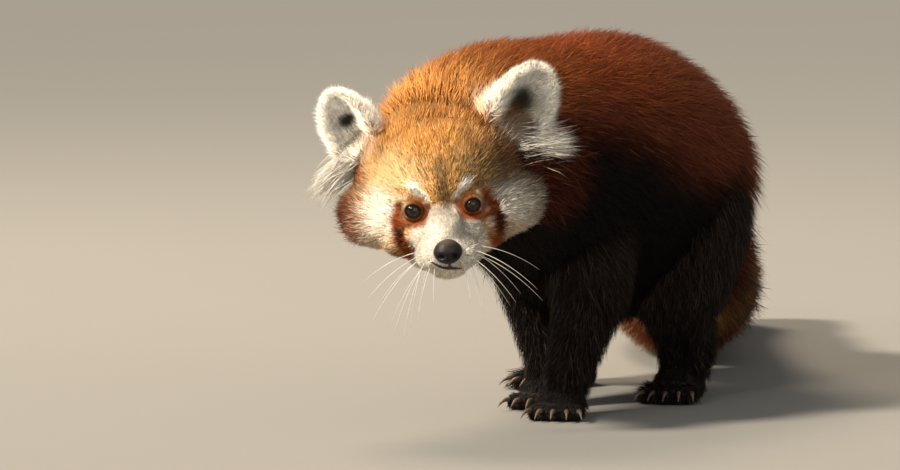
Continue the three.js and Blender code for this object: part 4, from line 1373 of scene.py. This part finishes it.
def lid_skin(tree, place):
    """Thin bare eyelid skin: dark and slightly moist at its edge, tan and downy beyond."""
    grain = noise(tree, place, 0.6, 4)
    return add(tree, "BsdfPrincipled", {
        "Base Color": mottled(tree, painted(tree), grain, 0.8, 1.2), "Roughness": 0.5,
        "Specular IOR Level": 0.12, "Normal": bumped(tree, grain, 0.35, 0.2)})


def nose_leather(tree, place):
    """Bare nose skin: black, moist and pebbled, with pebbles of about a millimetre."""
    pebbles = add(tree, "TexVoronoi", {"Vector": place, "Scale": 1 / (0.8 * MM)}).outputs["Distance"]
    return add(tree, "BsdfPrincipled", {
        "Base Color": mottled(tree, painted(tree), pebbles, 0.9, 1.3),
        "Roughness": worn(tree, noise(tree, place, 2), 0.4, 0.6), "Specular IOR Level": 0.25,
        "Normal": bumped(tree, pebbles, 0.6, -0.15)})


def lip_skin_and_crease_shadow(tree, place):
    """The dark, damp edge of the lips, which also stands for the painted shadow in the mouth's crease."""
    colour = mottled(tree, even("#2b1a15"), noise(tree, place, 0.8), 0.7, 1.5)
    return add(tree, "BsdfPrincipled", {"Base Color": colour, "Roughness": 0.45})


def whisker_hair(tree, place):
    """Stiff white whisker, smooth and a little glossy, greyer in places."""
    colour = mottled(tree, even("#f2ece2"), noise(tree, place, 8), 0.7, 1.0)
    return add(tree, "BsdfPrincipled", {"Base Color": colour, "Roughness": 0.35})


def claw_horn(tree, place):
    """Claw keratin: grey-brown horn, polished by use, with faint bands."""
    colour = mottled(tree, even("#6b5a4c"), noise(tree, place, 2), 0.5, 1.4)
    return add(tree, "BsdfPrincipled", {
        "Base Color": colour, "Roughness": 0.35, "Specular IOR Level": 0.5})


def floor_paint(tree, place):
    """A matt pale studio floor."""
    colour = mottled(tree, even("#8f8e8b"), noise(tree, place, 400), 0.99, 1.01)
    return add(tree, "BsdfPrincipled", {"Base Color": colour, "Roughness": 0.9})


# The model.

skin = make_skin()
fur_look = finish("guard_hair", guard_hair)
grow_coat(skin, fur_look)
side_tufts(skin, fur_look)
dress(skin, "skin", finish("under_fur", under_fur), [
    "head", "neck", "torso", "ear_left", "ear_right", "foreleg_left", "foreleg_right", "hindleg_left",
    "hindleg_right", "forepaw_left", "forepaw_right", "hindpaw_left", "hindpaw_right", "tail_base",
    "tail_middle", "tail_tip"])
eye_look = finish("wet_eye", wet_eye)
for side in (1, -1):
    make_eye(side, eye_look)
make_lids(skin, finish("lid_skin", lid_skin), fur_look)
make_nose(finish("nose_leather", nose_leather))
make_mouth(skin, finish("lip_skin_and_crease_shadow", lip_skin_and_crease_shadow))
make_whiskers(skin, finish("whisker_hair", whisker_hair))
make_claws(finish("claw_horn", claw_horn))

# The studio: floor, lights and camera.

FLOOR_ACROSS = 60
SKY = {"colour": "#dbd8d2", "strength": 0.4}
LIGHTS = (  # name, kind, metres sideways, up and forward of the eyes, power, colour and size
    ("key_light", "SUN", (-1.9, 1.7, 1.05), 5.6, "#fff0da", {"angle": math.radians(9)}),
    ("fill_light", "AREA", (0.7, 0.1, 2.4), 20, "#f3f0ea", {"size": 2.0}),
    ("eye_light", "AREA", (-0.9, 0.9, 1.6), 9, "#fff6ea", {"size": 0.36}),
    ("rim_light", "AREA", (-0.6, 1.8, -1.4), 40, "#ffe9cc", {"size": 0.8}),
)
LIGHT_AIM = np.array([0, 0.1, 0])  # where lights point, from the eyes

deselect()
bpy.ops.mesh.primitive_plane_add(size=FLOOR_ACROSS)
floor = bpy.context.object
floor.name = "floor"
floor.data.materials.append(finish("floor_paint", floor_paint))

azimuth, elevation = math.radians(CAMERA["azimuth"]), math.radians(CAMERA["elevation"])
back = np.array([math.sin(azimuth) * math.cos(elevation), -math.cos(azimuth) * math.cos(elevation),
                 math.sin(elevation)])
right = np.array([math.cos(azimuth), math.sin(azimuth), 0])
up = np.cross(back, right)
eyes = to_frame(from_head(np.array([0, EYE["y"], EYE["z"]])))
target = (eyes - right * (EYES_PIXEL[0] - PICTURE_WIDE / 2) * MM_PER_PIXEL * MM
          - up * (PICTURE_HIGH / 2 - EYES_PIXEL[1]) * MM_PER_PIXEL * MM)
lens = bpy.data.cameras.new("camera")
lens.lens = CAMERA["lens"]
lens.sensor_width = CAMERA["sensor"]
camera = bpy.data.objects.new("camera", lens)
camera.location = Vector(target + back * CAMERA["distance"])
camera.rotation_euler = Vector(-back).to_track_quat("-Z", "Y").to_euler()
bpy.context.scene.collection.objects.link(camera)
bpy.context.scene.camera = camera


def lit_from(name, kind, place, power, code, sizes):
    """A light placed from the animal's eyes, in metres, as seen from the camera."""
    sideways, high, forward = place
    light = bpy.data.lights.new(name, kind)
    light.energy = power
    light.color = linear(code)
    for key, value in sizes.items():
        setattr(light, key, value)
    holder = bpy.data.objects.new(name, light)
    flat_back = unit(np.array([back[0], back[1], 0]))
    place = eyes + right * sideways + flat_back * forward + np.array([0, 0, high])
    holder.location = Vector(place)
    aim = eyes + LIGHT_AIM - place
    holder.rotation_euler = Vector(aim).to_track_quat("-Z", "Y").to_euler()
    bpy.context.scene.collection.objects.link(holder)


for light in LIGHTS:
    lit_from(*light)
world = bpy.data.worlds.new("studio")
world.use_nodes = True
world.node_tree.nodes["Background"].inputs[0].default_value = even(SKY["colour"])
world.node_tree.nodes["Background"].inputs[1].default_value = SKY["strength"]
bpy.context.scene.world = world
bpy.context.scene.view_settings.view_transform = "Standard"
